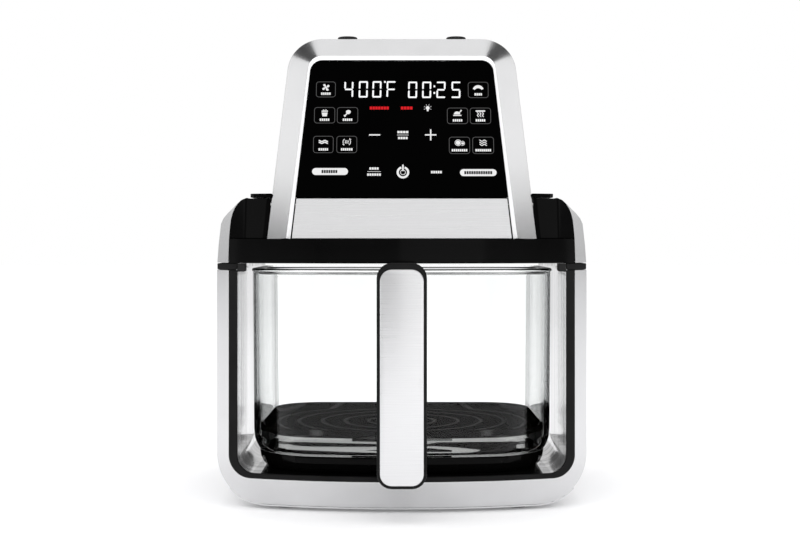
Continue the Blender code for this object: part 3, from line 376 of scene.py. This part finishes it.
def build_cradle(m):
    outer = (HALF_WIDTH, SHELL_FLOOR, SHELL_CORNER)
    inner = (HALF_WIDTH - SHEET, SHELL_FLOOR + SHEET, SHELL_CORNER - SHEET)
    lip = (TRIM_HALF + GAP, TRIM_FLOOR - GAP, TRIM_CORNER + GAP)
    shell_rear = HEAD_REAR - SHEET
    stands_for(u_sweep("shell_skin", [
        (*lip, FRONT, True), (*outer, FRONT + BEVEL, True), (*outer, shell_rear, False),
        (*inner, shell_rear, False), (*inner, FRONT + BEVEL + 0.0025, True),
        (*lip, FRONT + 0.003, True)], CRADLE_TOP, m["satin_silver"], bevel=0.0005, segments=3),
        "housing", "satin_silver", "outer_shell")

    bay, front, back = (BAY_HALF, BAY_FLOOR, BAY_CORNER), FRONT - 0.0005, FRONT + 0.003
    trim = (TRIM_HALF, TRIM_FLOOR, TRIM_CORNER)
    stands_for(u_sweep("front_trim_skin", [
        (*trim, front, True), (*trim, back, True), (*bay, back, True), (*bay, front, True)],
        CRADLE_TOP, m["satin_black"], bevel=0.0007, segments=3), "housing", "satin_black", "front_trim")

    skin = (BAY_HALF + 0.0002, BAY_FLOOR - 0.0010, BAY_CORNER + 0.0005)
    hide = (skin[0] + 0.0012, skin[1] - 0.0012, skin[2] + 0.0012)
    start = FRONT + 0.003 + GAP
    # The liner's streaky colour is painted reflection.
    stands_for(u_sweep("liner_skin", [
        (*skin, start, True), (*hide, start, True), (*hide, shell_rear, False),
        (*skin, shell_rear, False)], HEAD_FLOOR - GAP, m["bright_liner"]), "housing", "bright_liner",
        "inner_liner")
    rear_start, rear_end = shell_rear + GAP, shell_rear + 0.003
    stands_for(u_sweep("rear_trim_skin", [
        (*outer, rear_start, False), (*outer, rear_end, False), (*skin, rear_end, False),
        (*skin, rear_start, False)], CRADLE_TOP, m["satin_black"], bevel=0.0006, segments=3),
        "housing", "satin_black", "rear_trim")

    belt_half, belt_inner = HALF_WIDTH - 0.0004, hide[0] + GAP
    for side, tag in SIDES:
        outline = [(BAY_HALF, front + bow(BAY_HALF)), (TRIM_HALF, front + bow(TRIM_HALF)),
                   (belt_half, FRONT + BEVEL - 0.0005 + bow(belt_half)),
                   (belt_half, rear_end), (belt_inner, rear_end),
                   (belt_inner, back + bow(BAY_HALF)), (BAY_HALF, back + bow(BAY_HALF))]
        outline = [(side * x, y) for x, y in outline]
        stands_for(loft(f"belt_{tag}_skin", prism_rings(outline, CRADLE_TOP + GAP, HEAD_FLOOR - GAP),
                        m["satin_black"], bevel=0.0009, segments=3),
                   "housing", "satin_black", f"belt_{tag}")


# ---- head skins

def shoulder_outline():
    """The black shoulder's outer edge, from its foot to its top."""
    return [(0.1493, BAND_TOP + 0.0007), (0.1491, 0.243), (0.1484, 0.2507), (0.1471, 0.2560),
            (0.1453, 0.2604), (0.1427, 0.2644), (0.1396, 0.2674), (0.1352, 0.2693)]


def cap_outline():
    """The silver side cap's outer edge, from its foot to its top."""
    return [(0.1616, HEAD_FLOOR + GAP), (0.1604, 0.2290), (0.1587, 0.2472), (0.1566, 0.2520),
            (0.1528, 0.2565), (0.1485, 0.2607), (0.1442, 0.2649), (0.1403, 0.2684), (0.1352, 0.2700)]


def lean_back(z):
    """How far the head's front has leaned back at a height."""
    return max(z - BAND_TOP, 0) * sin(SHOULDER_LEAN) / cos(SHOULDER_LEAN)


def shoulder_front(x, z):
    """The shoulder follows the bow, then eases back to meet the tower's outer edge."""
    share = min(max((0.137 - x) / 0.020, 0), 1)
    return FRONT + 0.001 + bow(x) + lean_back(z) + 0.0072 * share * share * (3 - 2 * share)


def build_head(m):
    low_half, high_half, wall, flange = 0.1501, 0.1492, 0.003, 0.0018
    bezel_depth, bezel_width = 0.0068, BEZEL_FOOT - BEZEL_RIDGE
    sections, steps = [], 72
    for k in range(steps + 1):
        share = 2 * k / steps - 1
        x_low, x_high = low_half * share, high_half * share
        y_low, y_high = FRONT + bow(x_low), FRONT + bow(x_high)
        reach = TOWER_FOOT.y - 0.0005
        reach += bezel_depth * min(max((abs(x_high) - BEZEL_RIDGE) / bezel_width, 0), 1)
        reach = max(reach, y_high + wall + 0.0002)
        under = BAND_TOP - flange
        sections.append([Vector(p) for p in (
            (x_low, y_low, HEAD_FLOOR), (x_high, y_high, BAND_TOP), (x_high, reach, BAND_TOP),
            (x_high, reach, under), (x_high, y_high + wall, under), (x_low, y_low + wall, HEAD_FLOOR))])
    stands_for(loft("band_skin", sections, m["gloss_black"], bevel=0.0006, segments=3),
               "housing", "gloss_black", "head_band")

    foot, thickness = BAND_TOP + 0.0007, 0.0026
    rim = spline(shoulder_outline(), 3)
    for side, tag in SIDES:
        feet = [0.1172 + 0.0017 * k for k in range(10)]
        columns = [((x, foot), (x - 0.2 * (0.1342 - x), SHOULDER_TOP)) for x in feet]
        columns += [((x, foot), (x, z)) for x, z in rim[:1:-1]]
        columns.append((rim[0], rim[1]))
        sections = []
        for (x0, z0), (x1, z1) in columns:
            sections.append([Vector((side * x, shoulder_front(x, z) + depth, z))
                             for x, z, depth in ((x0, z0, 0), (x1, z1, 0), (x1, z1, thickness),
                                                 (x0, z0, thickness))])
        stands_for(loft(f"shoulder_{tag}_skin", sections, m["gloss_black"], smooth=40),
                   "housing", "gloss_black", f"shoulder_{tag}")

    inner_edge = [(shoulder_outline()[0][0] + 0.0013, HEAD_FLOOR + GAP),
                  (shoulder_outline()[0][0] + 0.0006, BAND_TOP)]
    inner_edge += [(x + GAP, z + GAP) for x, z in shoulder_outline()[1:]]
    outer_edge = cap_outline()
    for side, tag in SIDES:
        sections = []
        for k, (xo, zo) in enumerate(outer_edge):
            before, after = outer_edge[max(k - 1, 0)], outer_edge[min(k + 1, len(outer_edge) - 1)]
            dx, dz = after[0] - before[0], after[1] - before[1]
            length = hypot(dx, dz)
            xs, zs = xo - SHEET * dz / length, zo + SHEET * dx / length
            if k == 0:
                zs = zo
            xi, zi = inner_edge[k]
            y_in = FRONT + bow(xi) + lean_back(zi)
            y_out = FRONT + BEVEL + bow(xo) + lean_back(zo)
            sections.append([Vector((side * x, y, z)) for x, y, z in (
                (xi, y_in, zi), (xo, y_out, zo), (xo, HEAD_REAR, zo), (xs, HEAD_REAR, zs),
                (xs, y_out + 0.0025, zs), (xi, y_in + 0.003, zi))])
        stands_for(loft(f"side_cap_{tag}_skin", sections, m["satin_silver"], bevel=0.0004, smooth=24),
                   "housing", "satin_silver", f"side_cap_{tag}")


# ---- tower skins

def build_tower(m):
    depth, edge = -0.016, -0.007

    def rim(inset, level):
        return (BEZEL_FOOT - inset, BEZEL_TAPER, tower_top(level) - inset, BEZEL_CORNER - inset)
    ridge, lip = (BEZEL_RIDGE, 0.1075, 0.1661, 0.0125), (0.0960, PANEL_TAPER, 0.1626, 0.0110)
    back_ridge = (ridge[0] + 0.0015, ridge[1], ridge[2] + 0.0015, ridge[3])
    stations = [(rim(0, depth), depth), (rim(0, edge), edge), (ridge, 0.0), (lip, -0.0018), (lip, -0.0050),
                (back_ridge, -0.0060), (rim(SHEET, edge), edge - 0.003), (rim(SHEET, depth), depth)]
    skins = [[tower_point(u, v, w) for u, v in arch(*shape)] for shape, w in stations]
    bezel = loft("bezel_skin", [list(section) for section in zip(*skins)], m["satin_silver"],
                 bevel=0.0003, segments=2, smooth=14)
    # The faces between the ridge and the lip take the near-white silver, a painted highlight along the bezel's
    # inner edge.
    bezel.data.materials.append(m["silver_painted_highlight"])
    size = len(stations)
    for polygon in bezel.data.polygons:
        if len(polygon.vertices) == 4 and {v % size for v in polygon.vertices} == {2, 3}:
            polygon.material_index = 1
    stands_for(bezel, "housing", "satin_silver", "tower_bezel")

    wide, narrow = BADGE_HALF - PANEL_TAPER * BADGE_LOW, BADGE_HALF - PANEL_TAPER * BADGE_HIGH
    plate = [(-wide, BADGE_LOW), (wide, BADGE_LOW), (narrow, BADGE_HIGH), (-narrow, BADGE_HIGH)]
    stands_for(loft("badge_skin", [[tower_point(u, v, w) for u, v in plate] for w in (-0.0015, -0.0035)],
                    m["brushed_steel"], bevel=0.0003), "housing", "brushed_steel", "badge_plate")
    glass = arch(0.0952, PANEL_TAPER, 0.1611, 0.0103, low=0.0367)
    stands_for(loft("panel_skin", [[tower_point(u, v, w) for u, v in glass] for w in (-0.0013, -0.0038)],
                    m["panel_glass"], bevel=0.0004), "housing", "panel_glass", "control_glass")


# ---- marks on the touch panel: flat shapes in the tower's frame, in millimetres

class Marks:
    """Collects flat outlines that lie just above the touch panel."""

    def __init__(self, name, material, lift=MARK_LIFT):
        self.name, self.material, self.lift, self.verts, self.faces = name, material, lift, [], []

    def face(self, points):
        start = len(self.verts)
        self.verts += [tower_point(u / 1000, v / 1000, self.lift) for u, v in points]
        self.faces.append(list(range(start, start + len(points))))

    def band(self, inner, outer, closed=True):
        count = len(inner)
        for k in range(count if closed else count - 1):
            n = (k + 1) % count
            self.face([inner[k], inner[n], outer[n], outer[k]])

    def stroke(self, path, width):
        """A line of even width through points."""
        sides = []
        for k, point in enumerate(path):
            a, b = Vector(path[max(k - 1, 0)]), Vector(path[min(k + 1, len(path) - 1)])
            across = (b - a).normalized().orthogonal() * width / 2
            sides.append((tuple(Vector(point) + across), tuple(Vector(point) - across)))
        self.band([s[0] for s in sides], [s[1] for s in sides], closed=False)

    def frame(self, u0, v0, u1, v1, radius, line):
        self.band(rounded(u0 + line, v0 + line, u1 - line, v1 - line, radius - line),
                  rounded(u0, v0, u1, v1, radius))

    def pill(self, u0, v0, u1, v1, radius=None):
        self.face(rounded(u0, v0, u1, v1, radius or (v1 - v0) / 2))

    def dot(self, u, v, radius, steps=20):
        self.face(arc(u, v, radius, 0, 2 * pi, steps)[:-1])

    def blocks(self, u, v, count, height, pitch=1.75):
        """A row of small blocks where a caption would stand."""
        for k in range(count):
            left = u + pitch * (k - count / 2) + 0.2
            right = left + pitch - 0.4
            self.face([(left, v), (right, v), (right, v + height), (left, v + height)])

    def ring(self, u, v, radius, line, start=0, end=2 * pi, steps=32):
        self.band(arc(u, v, radius - line, start, end, steps), arc(u, v, radius, start, end, steps),
                  closed=False)

    def build(self):
        obj = add_object(self.name, self.verts, self.faces, self.material)
        bm = bmesh.new()
        bm.from_mesh(obj.data)
        outward = tower_point(0, 0, 1) - tower_point(0, 0, 0)
        bmesh.ops.reverse_faces(bm, faces=[f for f in bm.faces if f.normal.dot(outward) < 0])
        bm.to_mesh(obj.data)
        bm.free()
        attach(obj, "housing")
        return obj


def rounded(u0, v0, u1, v1, r, steps=6):
    """A rectangle with corners of radius r."""
    points = arc(u1 - r, v0 + r, r, 1.5 * pi, 2 * pi, steps) + arc(u1 - r, v1 - r, r, 0, 0.5 * pi, steps)
    return points + arc(u0 + r, v1 - r, r, 0.5 * pi, pi, steps) + arc(u0 + r, v0 + r, r, pi, 1.5 * pi, steps)


# The seven segments a to g of each sign, clockwise from the top, the middle one last
SIGNS = {"0": "abcdef", "2": "abged", "4": "fgbc", "5": "afgcd", "F": "aefg"}


def seven_segment(marks, sign, u0, v0, width, height):
    """One seven-segment sign with pointed, separate segments and a slight forward slant."""
    t, gap, slant = 1.45, 0.32, 0.02
    w, h = width, height
    ends = {"a": ((0, h), (w, h)), "b": ((w, h), (w, h / 2)), "c": ((w, h / 2), (w, 0)),
            "d": ((0, 0), (w, 0)), "e": ((0, h / 2), (0, 0)), "f": ((0, h), (0, h / 2)),
            "g": ((0, h / 2), (w, h / 2))}
    inset = {"a": (0, -t / 2), "d": (0, t / 2), "g": (0, 0), "b": (-t / 2, 0), "c": (-t / 2, 0),
             "e": (t / 2, 0), "f": (t / 2, 0)}
    for name in SIGNS[sign]:
        (x0, y0), (x1, y1) = ends[name]
        dx, dy = inset[name]
        a, b = Vector((x0 + dx, y0 + dy)), Vector((x1 + dx, y1 + dy))
        along = (b - a).normalized()
        across = along.orthogonal() * t / 2
        a, b = a + along * (t / 2 + gap), b - along * (t / 2 + gap)
        if name in "ad":
            a, b = a - along * t * 0.3, b + along * t * 0.3
        hexagon = [a - along * t * 0.32, a + across, b + across, b + along * t * 0.32, b - across, a - across]
        marks.face([(u0 + p.x + slant * p.y, v0 + p.y) for p in hexagon])


def draw_fan(marks, u, v):
    for k in range(4):
        a = radians(20 + 90 * k)
        blade = [(0.5, 0.1), (1.6, 1.3), (2.9, 1.6), (3.5, 0.9), (3.2, -0.3), (2.1, -0.6), (0.9, -0.5)]
        marks.face([(u + x * cos(a) - y * sin(a), v + x * sin(a) + y * cos(a)) for x, y in blade])
    marks.dot(u, v, 0.8, 12)


def draw_sticks(marks, u, v):
    marks.face([(u - 2.6, v + 0.4), (u + 2.6, v + 0.4), (u + 1.9, v - 3.0), (u - 1.9, v - 3.0)])
    for k, rise in enumerate((2.4, 3.2, 2.7, 3.3, 2.5)):
        x = u - 2.2 + 1.1 * k
        marks.face([(x - 0.4, v + 0.8), (x + 0.4, v + 0.8), (x + 0.5, v + rise), (x - 0.3, v + rise)])


def draw_drumstick(marks, u, v):
    marks.face([(u + 0.7 + 2.1 * cos(a) * (1 + 0.15 * sin(a)), v + 0.9 + 1.9 * sin(a))
                for a in (2 * pi * k / 20 for k in range(20))])
    marks.stroke([(u - 0.4, v - 0.4), (u - 2.3, v - 2.4)], 1.0)
    marks.dot(u - 2.7, v - 2.3, 0.65, 10)
    marks.dot(u - 2.2, v - 2.9, 0.65, 10)


def draw_crescent(marks, u, v):
    outer = arc(u, v - 2.6, 5.0, radians(18), radians(162), 15)
    inner = arc(u, v - 4.0, 3.6, radians(34), radians(146), 15)
    for k in range(0, 15, 3):
        marks.band(inner[k:k + 4], outer[k:k + 4], closed=False)


def draw_roast(marks, u, v):
    marks.face(arc(u - 0.4, v - 0.8, 2.8, 0, pi, 14))
    marks.pill(u - 3.8, v - 2.1, u + 3.6, v - 1.2, 0.4)
    marks.stroke([(u + 1.4, v + 0.6), (u + 3.0, v + 2.4)], 0.8)
    marks.dot(u + 3.2, v + 2.8, 0.7, 10)


def draw_rays(marks, u, v):
    marks.pill(u - 4.2, v + 1.7, u + 4.2, v + 3.0, 0.5)
    for k in (-1, 0, 1):
        draw_wave(marks, u + 2.2 * k, v - 0.9, 2.2, 0.5, upright=True)


def draw_wave(marks, u, v, half, swing, upright=False, width=0.7):
    path = []
    for k in range(13):
        t = -1 + k / 6
        shift = swing * sin(2.5 * pi * t / 1.6)
        path.append((u + shift, v + half * t) if upright else (u + half * t, v + shift))
    marks.stroke(path, width)


def draw_strips(marks, u, v):
    for k in (0.8, -0.8):
        draw_wave(marks, u, v + k, 4.0, 0.5, width=1.1)


def draw_reheat(marks, u, v):
    for k in (-1, 0, 1):
        draw_wave(marks, u + 1.2 * k, v, 1.5, 0.35, upright=True, width=0.5)
    marks.ring(u, v, 3.6, 0.6, radians(-55), radians(30), 10)
    marks.ring(u, v, 3.6, 0.6, radians(125), radians(210), 10)
    marks.face([(u + 4.0, v + 2.0), (u + 2.0, v + 2.0), (u + 2.4, v + 3.4)])
    marks.face([(u - 4.0, v - 2.0), (u - 2.0, v - 2.0), (u - 2.4, v - 3.4)])


def draw_slices(marks, u, v):
    marks.ring(u - 1.2, v, 2.9, 0.5)
    marks.dot(u - 1.2, v, 2.0)
    marks.ring(u + 2.6, v - 0.5, 2.1, 0.45, radians(-120), radians(120), 20)
    marks.dot(u + 2.9, v - 0.5, 1.1, 14)


def draw_warm(marks, u, v):
    for k in (-1.9, 0, 1.9):
        draw_wave(marks, u, v + k, 3.2, 0.6)


def draw_lamp(marks, u, v):
    marks.dot(u, v + 0.4, 1.7)
    marks.pill(u - 0.8, v - 2.6, u + 0.8, v - 1.2, 0.3)
    for k in range(8):
        a = 2 * pi * k / 8 + pi / 8
        if sin(a) > -0.8:
            marks.stroke([(u + 2.5 * cos(a), v + 0.4 + 2.5 * sin(a)),
                          (u + 3.4 * cos(a), v + 0.4 + 3.4 * sin(a))], 0.4)


def build_marks(m):
    """Everything that is lit or printed on the panel; widths and heights are in millimetres."""
    # The icons, key outlines and red marks are printed; their glow is painted light.
    white, boxes = Marks("panel_icons", m["print_white"]), Marks("panel_key_outlines", m["print_grey"])
    red, digits = Marks("panel_status_marks", m["print_red"]), Marks("display_digits", m["display_white"])
    dark = Marks("button_captions", m["print_black"], CAPTION_LIFT)
    keys = [(-75.6, -58.3, 127.9, 142.4, 5, draw_fan), (58.3, 76.4, 127.3, 142.1, 4, draw_crescent),
            (-77.0, -58.6, 103.9, 118.7, 5, draw_sticks), (-56.9, -38.4, 103.9, 118.7, 5, draw_drumstick),
            (39.7, 58.1, 103.3, 118.2, 5, draw_roast), (59.8, 78.3, 103.3, 118.2, 5, draw_rays),
            (-77.5, -59.7, 76.8, 92.3, 5, draw_strips), (-57.1, -39.1, 76.8, 92.3, 6, draw_reheat),
            (41.2, 59.6, 76.0, 91.5, 8, draw_slices), (61.7, 80.5, 76.0, 91.5, 8, draw_warm)]
    for u0, u1, v0, v1, count, draw in keys:
        boxes.frame(u0, v0, u1, v1, 2.6, 0.5)
        centre = (u0 + u1) / 2
        draw(white, centre, v1 - 5.4)
        white.blocks(centre, v0 + 2.2, count, 2.2)
    for sign, u in (("4", -50.9), ("0", -38.1), ("0", -26.1), ("F", -13.6)):
        seven_segment(digits, sign, u, 127.6, 8.0, 15.2)
    digits.dot(-14.9, 142.1, 0.9, 12)
    for sign, u in (("0", 5.4), ("0", 17.8), ("2", 30.4), ("5", 43.6)):
        seven_segment(digits, sign, u, 127.2, 8.0, 15.2)
    for v in (131.9, 138.0):
        digits.pill(27.9 + 0.02 * (v - 132), v - 0.85, 29.5, v + 0.85, 0.3)
    red.blocks(-19.8, 116.6, 7, 2.7, 2.45)
    red.blocks(4.3, 116.6, 4, 2.7, 2.65)
    draw_lamp(white, 22.8, 117.6)
    white.pill(-28.8, 92.7, -18.8, 93.9, 0.5)
    white.pill(20.2, 92.7, 30.4, 93.9, 0.5)
    white.pill(24.7, 88.2, 25.9, 98.4, 0.5)
    white.blocks(0.9, 94.8, 4, 2.1, 2.5)
    white.pill(-4.2, 93.0, 6.0, 93.4, 0.2)
    white.blocks(0.9, 89.4, 4, 2.1, 2.2)
    white.pill(-78.1, 56.9, -46.8, 63.2)
    white.pill(50.6, 55.9, 82.5, 62.2)
    dark.blocks(-63.0, 58.6, 7, 2.8, 2.0)
    dark.blocks(66.5, 57.6, 12, 2.8, 2.05)
    white.blocks(-24.2, 61.7, 4, 2.1, 2.1)
    white.pill(-30.0, 59.8, -18.3, 60.15, 0.15)
    white.blocks(-24.2, 56.2, 6, 2.1, 2.05)
    white.blocks(30.1, 58.4, 5, 2.2, 1.95)
    white.ring(1.0, 59.3, 5.5, 1.9, radians(108), radians(432))
    white.ring(1.0, 59.3, 2.4, 0.5)
    white.pill(0.3, 60.4, 1.7, 66.3, 0.6)
    for marks in (white, boxes, red, digits, dark):
        marks.build()


# ---- drawer and tray skins

def build_drawer(m):
    lower = [(0.0290, 0.0450), (0.0150, 0.0470), (0.0095, 0.0520), (0.0070, 0.0600)]
    rim = [(0.0054, 0.2020), (0.0045, 0.2066), (0.0030, 0.2080), (0.0012, 0.2080), (0.0, 0.2068),
           (0.0, 0.2056), (0.0010, 0.2046)]
    under = [(0.0019, 0.0640), (0.0031, 0.0555), (0.0072, 0.0475), (0.0112, 0.0466), (0.0170, 0.0426),
             (0.0260, 0.0402)]
    inner_wall = [(0.0070 - 0.0016 * t, 0.0600 + 0.1420 * t) for t in (0.02, 0.06, 0.5, 0.94, 0.98)]
    outer_wall = [(0.0010 + 0.0009 * t, 0.2046 - 0.1406 * t) for t in (0.02, 0.06, 0.5, 0.94, 0.98)]
    profile = spline(lower, 4) + inner_wall + spline(rim, 3) + outer_wall + spline(under, 4)
    stands_for(loft("glass_bowl_skin", [inset_plan(d, z) for d, z in profile], m["clear_glass"], smooth=50),
               "drawer", "clear_glass", "glass_bowl")

    def face(inset, y):
        half, low, high = HANDLE_HALF - inset, HANDLE_LOW + inset, HANDLE_HIGH - inset - 0.0026
        outline = rounded(-half, low, half, high, HANDLE_CORNER - inset, ARC_STEPS)
        return [Vector((x, y, z)) for x, z in outline]
    stands_for(loft("handle_plate_skin", [
        face(0.0027, FRONT_LIMIT + 0.0012), face(0.0027, FRONT_LIMIT + 0.0004),
        face(0.0029, FRONT_LIMIT + 0.0001), face(0.0033, FRONT_LIMIT)], m["brushed_steel"], smooth=50),
        "drawer", "brushed_steel", "handle_plate")


def divided(ring, counts):
    """The ring with its stretch k cut into counts[k] equal ones."""
    return [p + (q - p) * k / n for p, q, n in zip(ring, ring[1:] + ring[:1], counts) for k in range(n)]


def build_tray(m):
    """A thin tray with wavy rings of slots and a rolled rim."""
    base = inset_plan(TRAY_INSET)
    counts = [max(1, round((q - p).length / SLOT_LENGTH)) for p, q in zip(base, base[1:] + base[:1])]
    edge = [(p.x, p.y) for p in divided(base, counts)]
    cols = len(edge)
    centre_y = (RIM_FRONT + RIM_REAR) / 2
    low, high, count = TRAY_UNDERSIDE, TRAY_TOP, TRAY_BANDS
    scale = [0.12 + 0.88 * k / count for k in range(count + 1)]

    def point(i, j):
        x, y = edge[j % cols]
        fade = min(1, 5 * (1 - scale[i]))
        share = scale[i] + WAVE_SHARE * fade * sin(2 * pi * TRAY_WAVES * j / cols)
        return x * share, centre_y + (y - centre_y) * share

    def kept(i, j):
        """Every fourth band has slots, and bridges between them."""
        return not (i % 4 == 1 and 1 < i < count - 3 and (j + i // 4) % 2)

    verts = [(*point(i, j), z) for z in (high, low) for i in range(count + 1) for j in range(cols)]
    at = lambda i, j, layer: (layer * (count + 1) + i) * cols + j % cols
    faces = []
    for i in range(count):
        for j in range(cols):
            if not kept(i, j):
                continue
            corners = [(i, j), (i + 1, j), (i + 1, j + 1), (i, j + 1)]
            faces.append([at(a, b, 0) for a, b in corners])
            faces.append([at(a, b, 1) for a, b in corners][::-1])
            for (a, b), (c, d), (e, f) in ((corners[0], corners[3], (i - 1, j)),
                                           (corners[1], corners[2], (i + 1, j)),
                                           (corners[0], corners[1], (i, j - 1)),
                                           (corners[3], corners[2], (i, j + 1))):
                if 0 <= e < count and not kept(e, f % cols):
                    faces.append([at(a, b, 0), at(a, b, 1), at(c, d, 1), at(c, d, 0)])
    faces.append([at(0, j, 0) for j in range(cols)])
    faces.append([at(0, j, 1) for j in range(cols)][::-1])
    rim = spline([(TRAY_INSET, high), (0.0122, 0.0672), (0.0104, 0.0694), (0.0092, 0.0701), (0.0082, 0.0699),
                  (0.0078, 0.0690), (0.0078, 0.0656), (0.0088, 0.0651), (0.0120, 0.0651),
                  (TRAY_INSET, low)], 3)[1:-1]
    rings = [[at(count, j, 0) for j in range(cols)]]
    for inset, z in rim:
        rings.append([len(verts) + j for j in range(cols)])
        verts += [tuple(p) for p in divided(inset_plan(inset, z), counts)]
    rings.append([at(count, j, 1) for j in range(cols)])
    for near, far in zip(rings, rings[1:]):
        faces += [[near[k], near[(k + 1) % cols], far[(k + 1) % cols], far[k]] for k in range(cols)]
    used = sorted({v for f in faces for v in f})
    number = {v: n for n, v in enumerate(used)}
    faces = [[number[v] for v in f] for f in faces]
    tray = add_object("tray_skin", [verts[v] for v in used], faces, m["tray_coating"], smooth=40)
    stands_for(tray, "tray", "tray_coating", "crisper_tray")


# ---- studio

def softbox(name, place, target, size, power):
    light = bpy.data.lights.new(name, "AREA")
    light.shape, light.size, light.size_y = "RECTANGLE", size[0], size[1]
    light.energy = power
    obj = bpy.data.objects.new(name, light)
    obj.location = place
    obj.rotation_euler = (Vector(target) - Vector(place)).to_track_quat("-Z", "Y").to_euler()
    bpy.context.scene.collection.objects.link(obj)
    return obj


def build_studio():
    scene = bpy.context.scene
    camera = bpy.data.objects.new("camera", bpy.data.cameras.new("camera"))
    camera.location = (0, -1.368, 0.233)
    camera.rotation_euler = (radians(90), 0, 0)
    camera.data.sensor_width, camera.data.lens = 36, 65.75
    camera.data.shift_x, camera.data.shift_y = -0.00225, -0.0331
    camera.data.clip_start = 0.05
    scene.collection.objects.link(camera)
    scene.camera = camera

    world = bpy.data.worlds.new("studio")
    scene.world = world
    world.use_nodes = True
    tree = world.node_tree
    tree.nodes.clear()
    output = tree.nodes.new("ShaderNodeOutputWorld")
    path = tree.nodes.new("ShaderNodeLightPath")
    backdrop, mirrored = tree.nodes.new("ShaderNodeBackground"), tree.nodes.new("ShaderNodeBackground")
    backdrop.inputs["Color"].default_value, backdrop.inputs["Strength"].default_value = (1, 1, 1, 1), 1.0
    # Reflections see a white room behind the object, a grey one in front and a dark ceiling over that.
    place = tree.nodes.new("ShaderNodeTexCoord")
    parts = tree.nodes.new("ShaderNodeSeparateXYZ")
    tree.links.new(place.outputs["Generated"], parts.inputs[0])

    def ramp(source, start, end, low, high):
        node = tree.nodes.new("ShaderNodeMapRange")
        node.interpolation_type = "SMOOTHSTEP"
        for key, value in (("From Min", start), ("From Max", end), ("To Min", low), ("To Max", high)):
            node.inputs[key].default_value = value
        tree.links.new(source, node.inputs["Value"])
        return node.outputs["Result"]
    room = tree.nodes.new("ShaderNodeMath")
    room.operation = "MAXIMUM"
    tree.links.new(ramp(parts.outputs["Z"], 0.46, 0.54, FRONT_ROOM, DARK_CEILING), room.inputs[0])
    tree.links.new(ramp(parts.outputs["Y"], 0.0, 0.35, 0.0, BACK_ROOM), room.inputs[1])
    tree.links.new(room.outputs[0], mirrored.inputs["Strength"])
    mix = tree.nodes.new("ShaderNodeMixShader")
    tree.links.new(path.outputs["Is Glossy Ray"], mix.inputs["Fac"])
    tree.links.new(backdrop.outputs[0], mix.inputs[1])
    tree.links.new(mirrored.outputs[0], mix.inputs[2])
    tree.links.new(mix.outputs[0], output.inputs["Surface"])

    middle = (0, 0, 0.2)
    softbox("top_softbox", (0, -0.55, 2.0), (0, -0.3, 0.3), (1.0, 1.3), 4.4)
    for side, tag in SIDES:
        softbox(f"{tag}_softbox", (1.7 * side, -1.1, 1.76), (0, -0.1, 0.3), (1.3, 1.0), 4.7)
        softbox(f"{tag}_low_softbox", (1.9 * side, -0.9, 0.25), (0, 0, 0.15), (1.2, 0.7), 2.6)
    softbox("front_softbox", (0, -2.6, 1.5), middle, (2.2, 1.2), 8)
    softbox("front_card", (0.60, -2.9, 0.45), middle, (1.3, 1.3), 4.2)
    softbox("rear_softbox", (0, 2.0, 1.6), middle, (2.4, 1.2), 4)

    mesh = bpy.data.meshes.new("floor")
    mesh.from_pydata([(-12, -12, 0), (12, -12, 0), (12, 12, 0), (-12, 12, 0)], [], [(0, 1, 2, 3)])
    floor = bpy.data.objects.new("floor", mesh)
    mesh.materials.append(surface("pale_floor", grey(0.94), grey(0.96), (0.55, 0.65), scale=3,
                                  specular=0.0))
    shader = mesh.materials[0].node_tree.nodes["Principled BSDF"]
    shader.inputs["Emission Color"].default_value = (1, 1, 1, 1)
    shader.inputs["Emission Strength"].default_value = 0.08
    scene.collection.objects.link(floor)
    scene.view_settings.view_transform = "Standard"


def dress_nodes(m):
    """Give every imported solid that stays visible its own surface."""
    slot_of = {row["node"]: row["material_slot"] for row in frame["record"]["subparts"]}
    for name, node in frame["nodes"].items():
        material = m[slot_of[name]]
        if not node.data.materials:
            node.data.materials.append(material)
        for k in range(len(node.data.materials)):
            node.data.materials[k] = material


m = make_materials()
dress_nodes(m)
build_cradle(m)
build_head(m)
build_tower(m)
build_marks(m)
build_drawer(m)
build_tray(m)
build_studio()
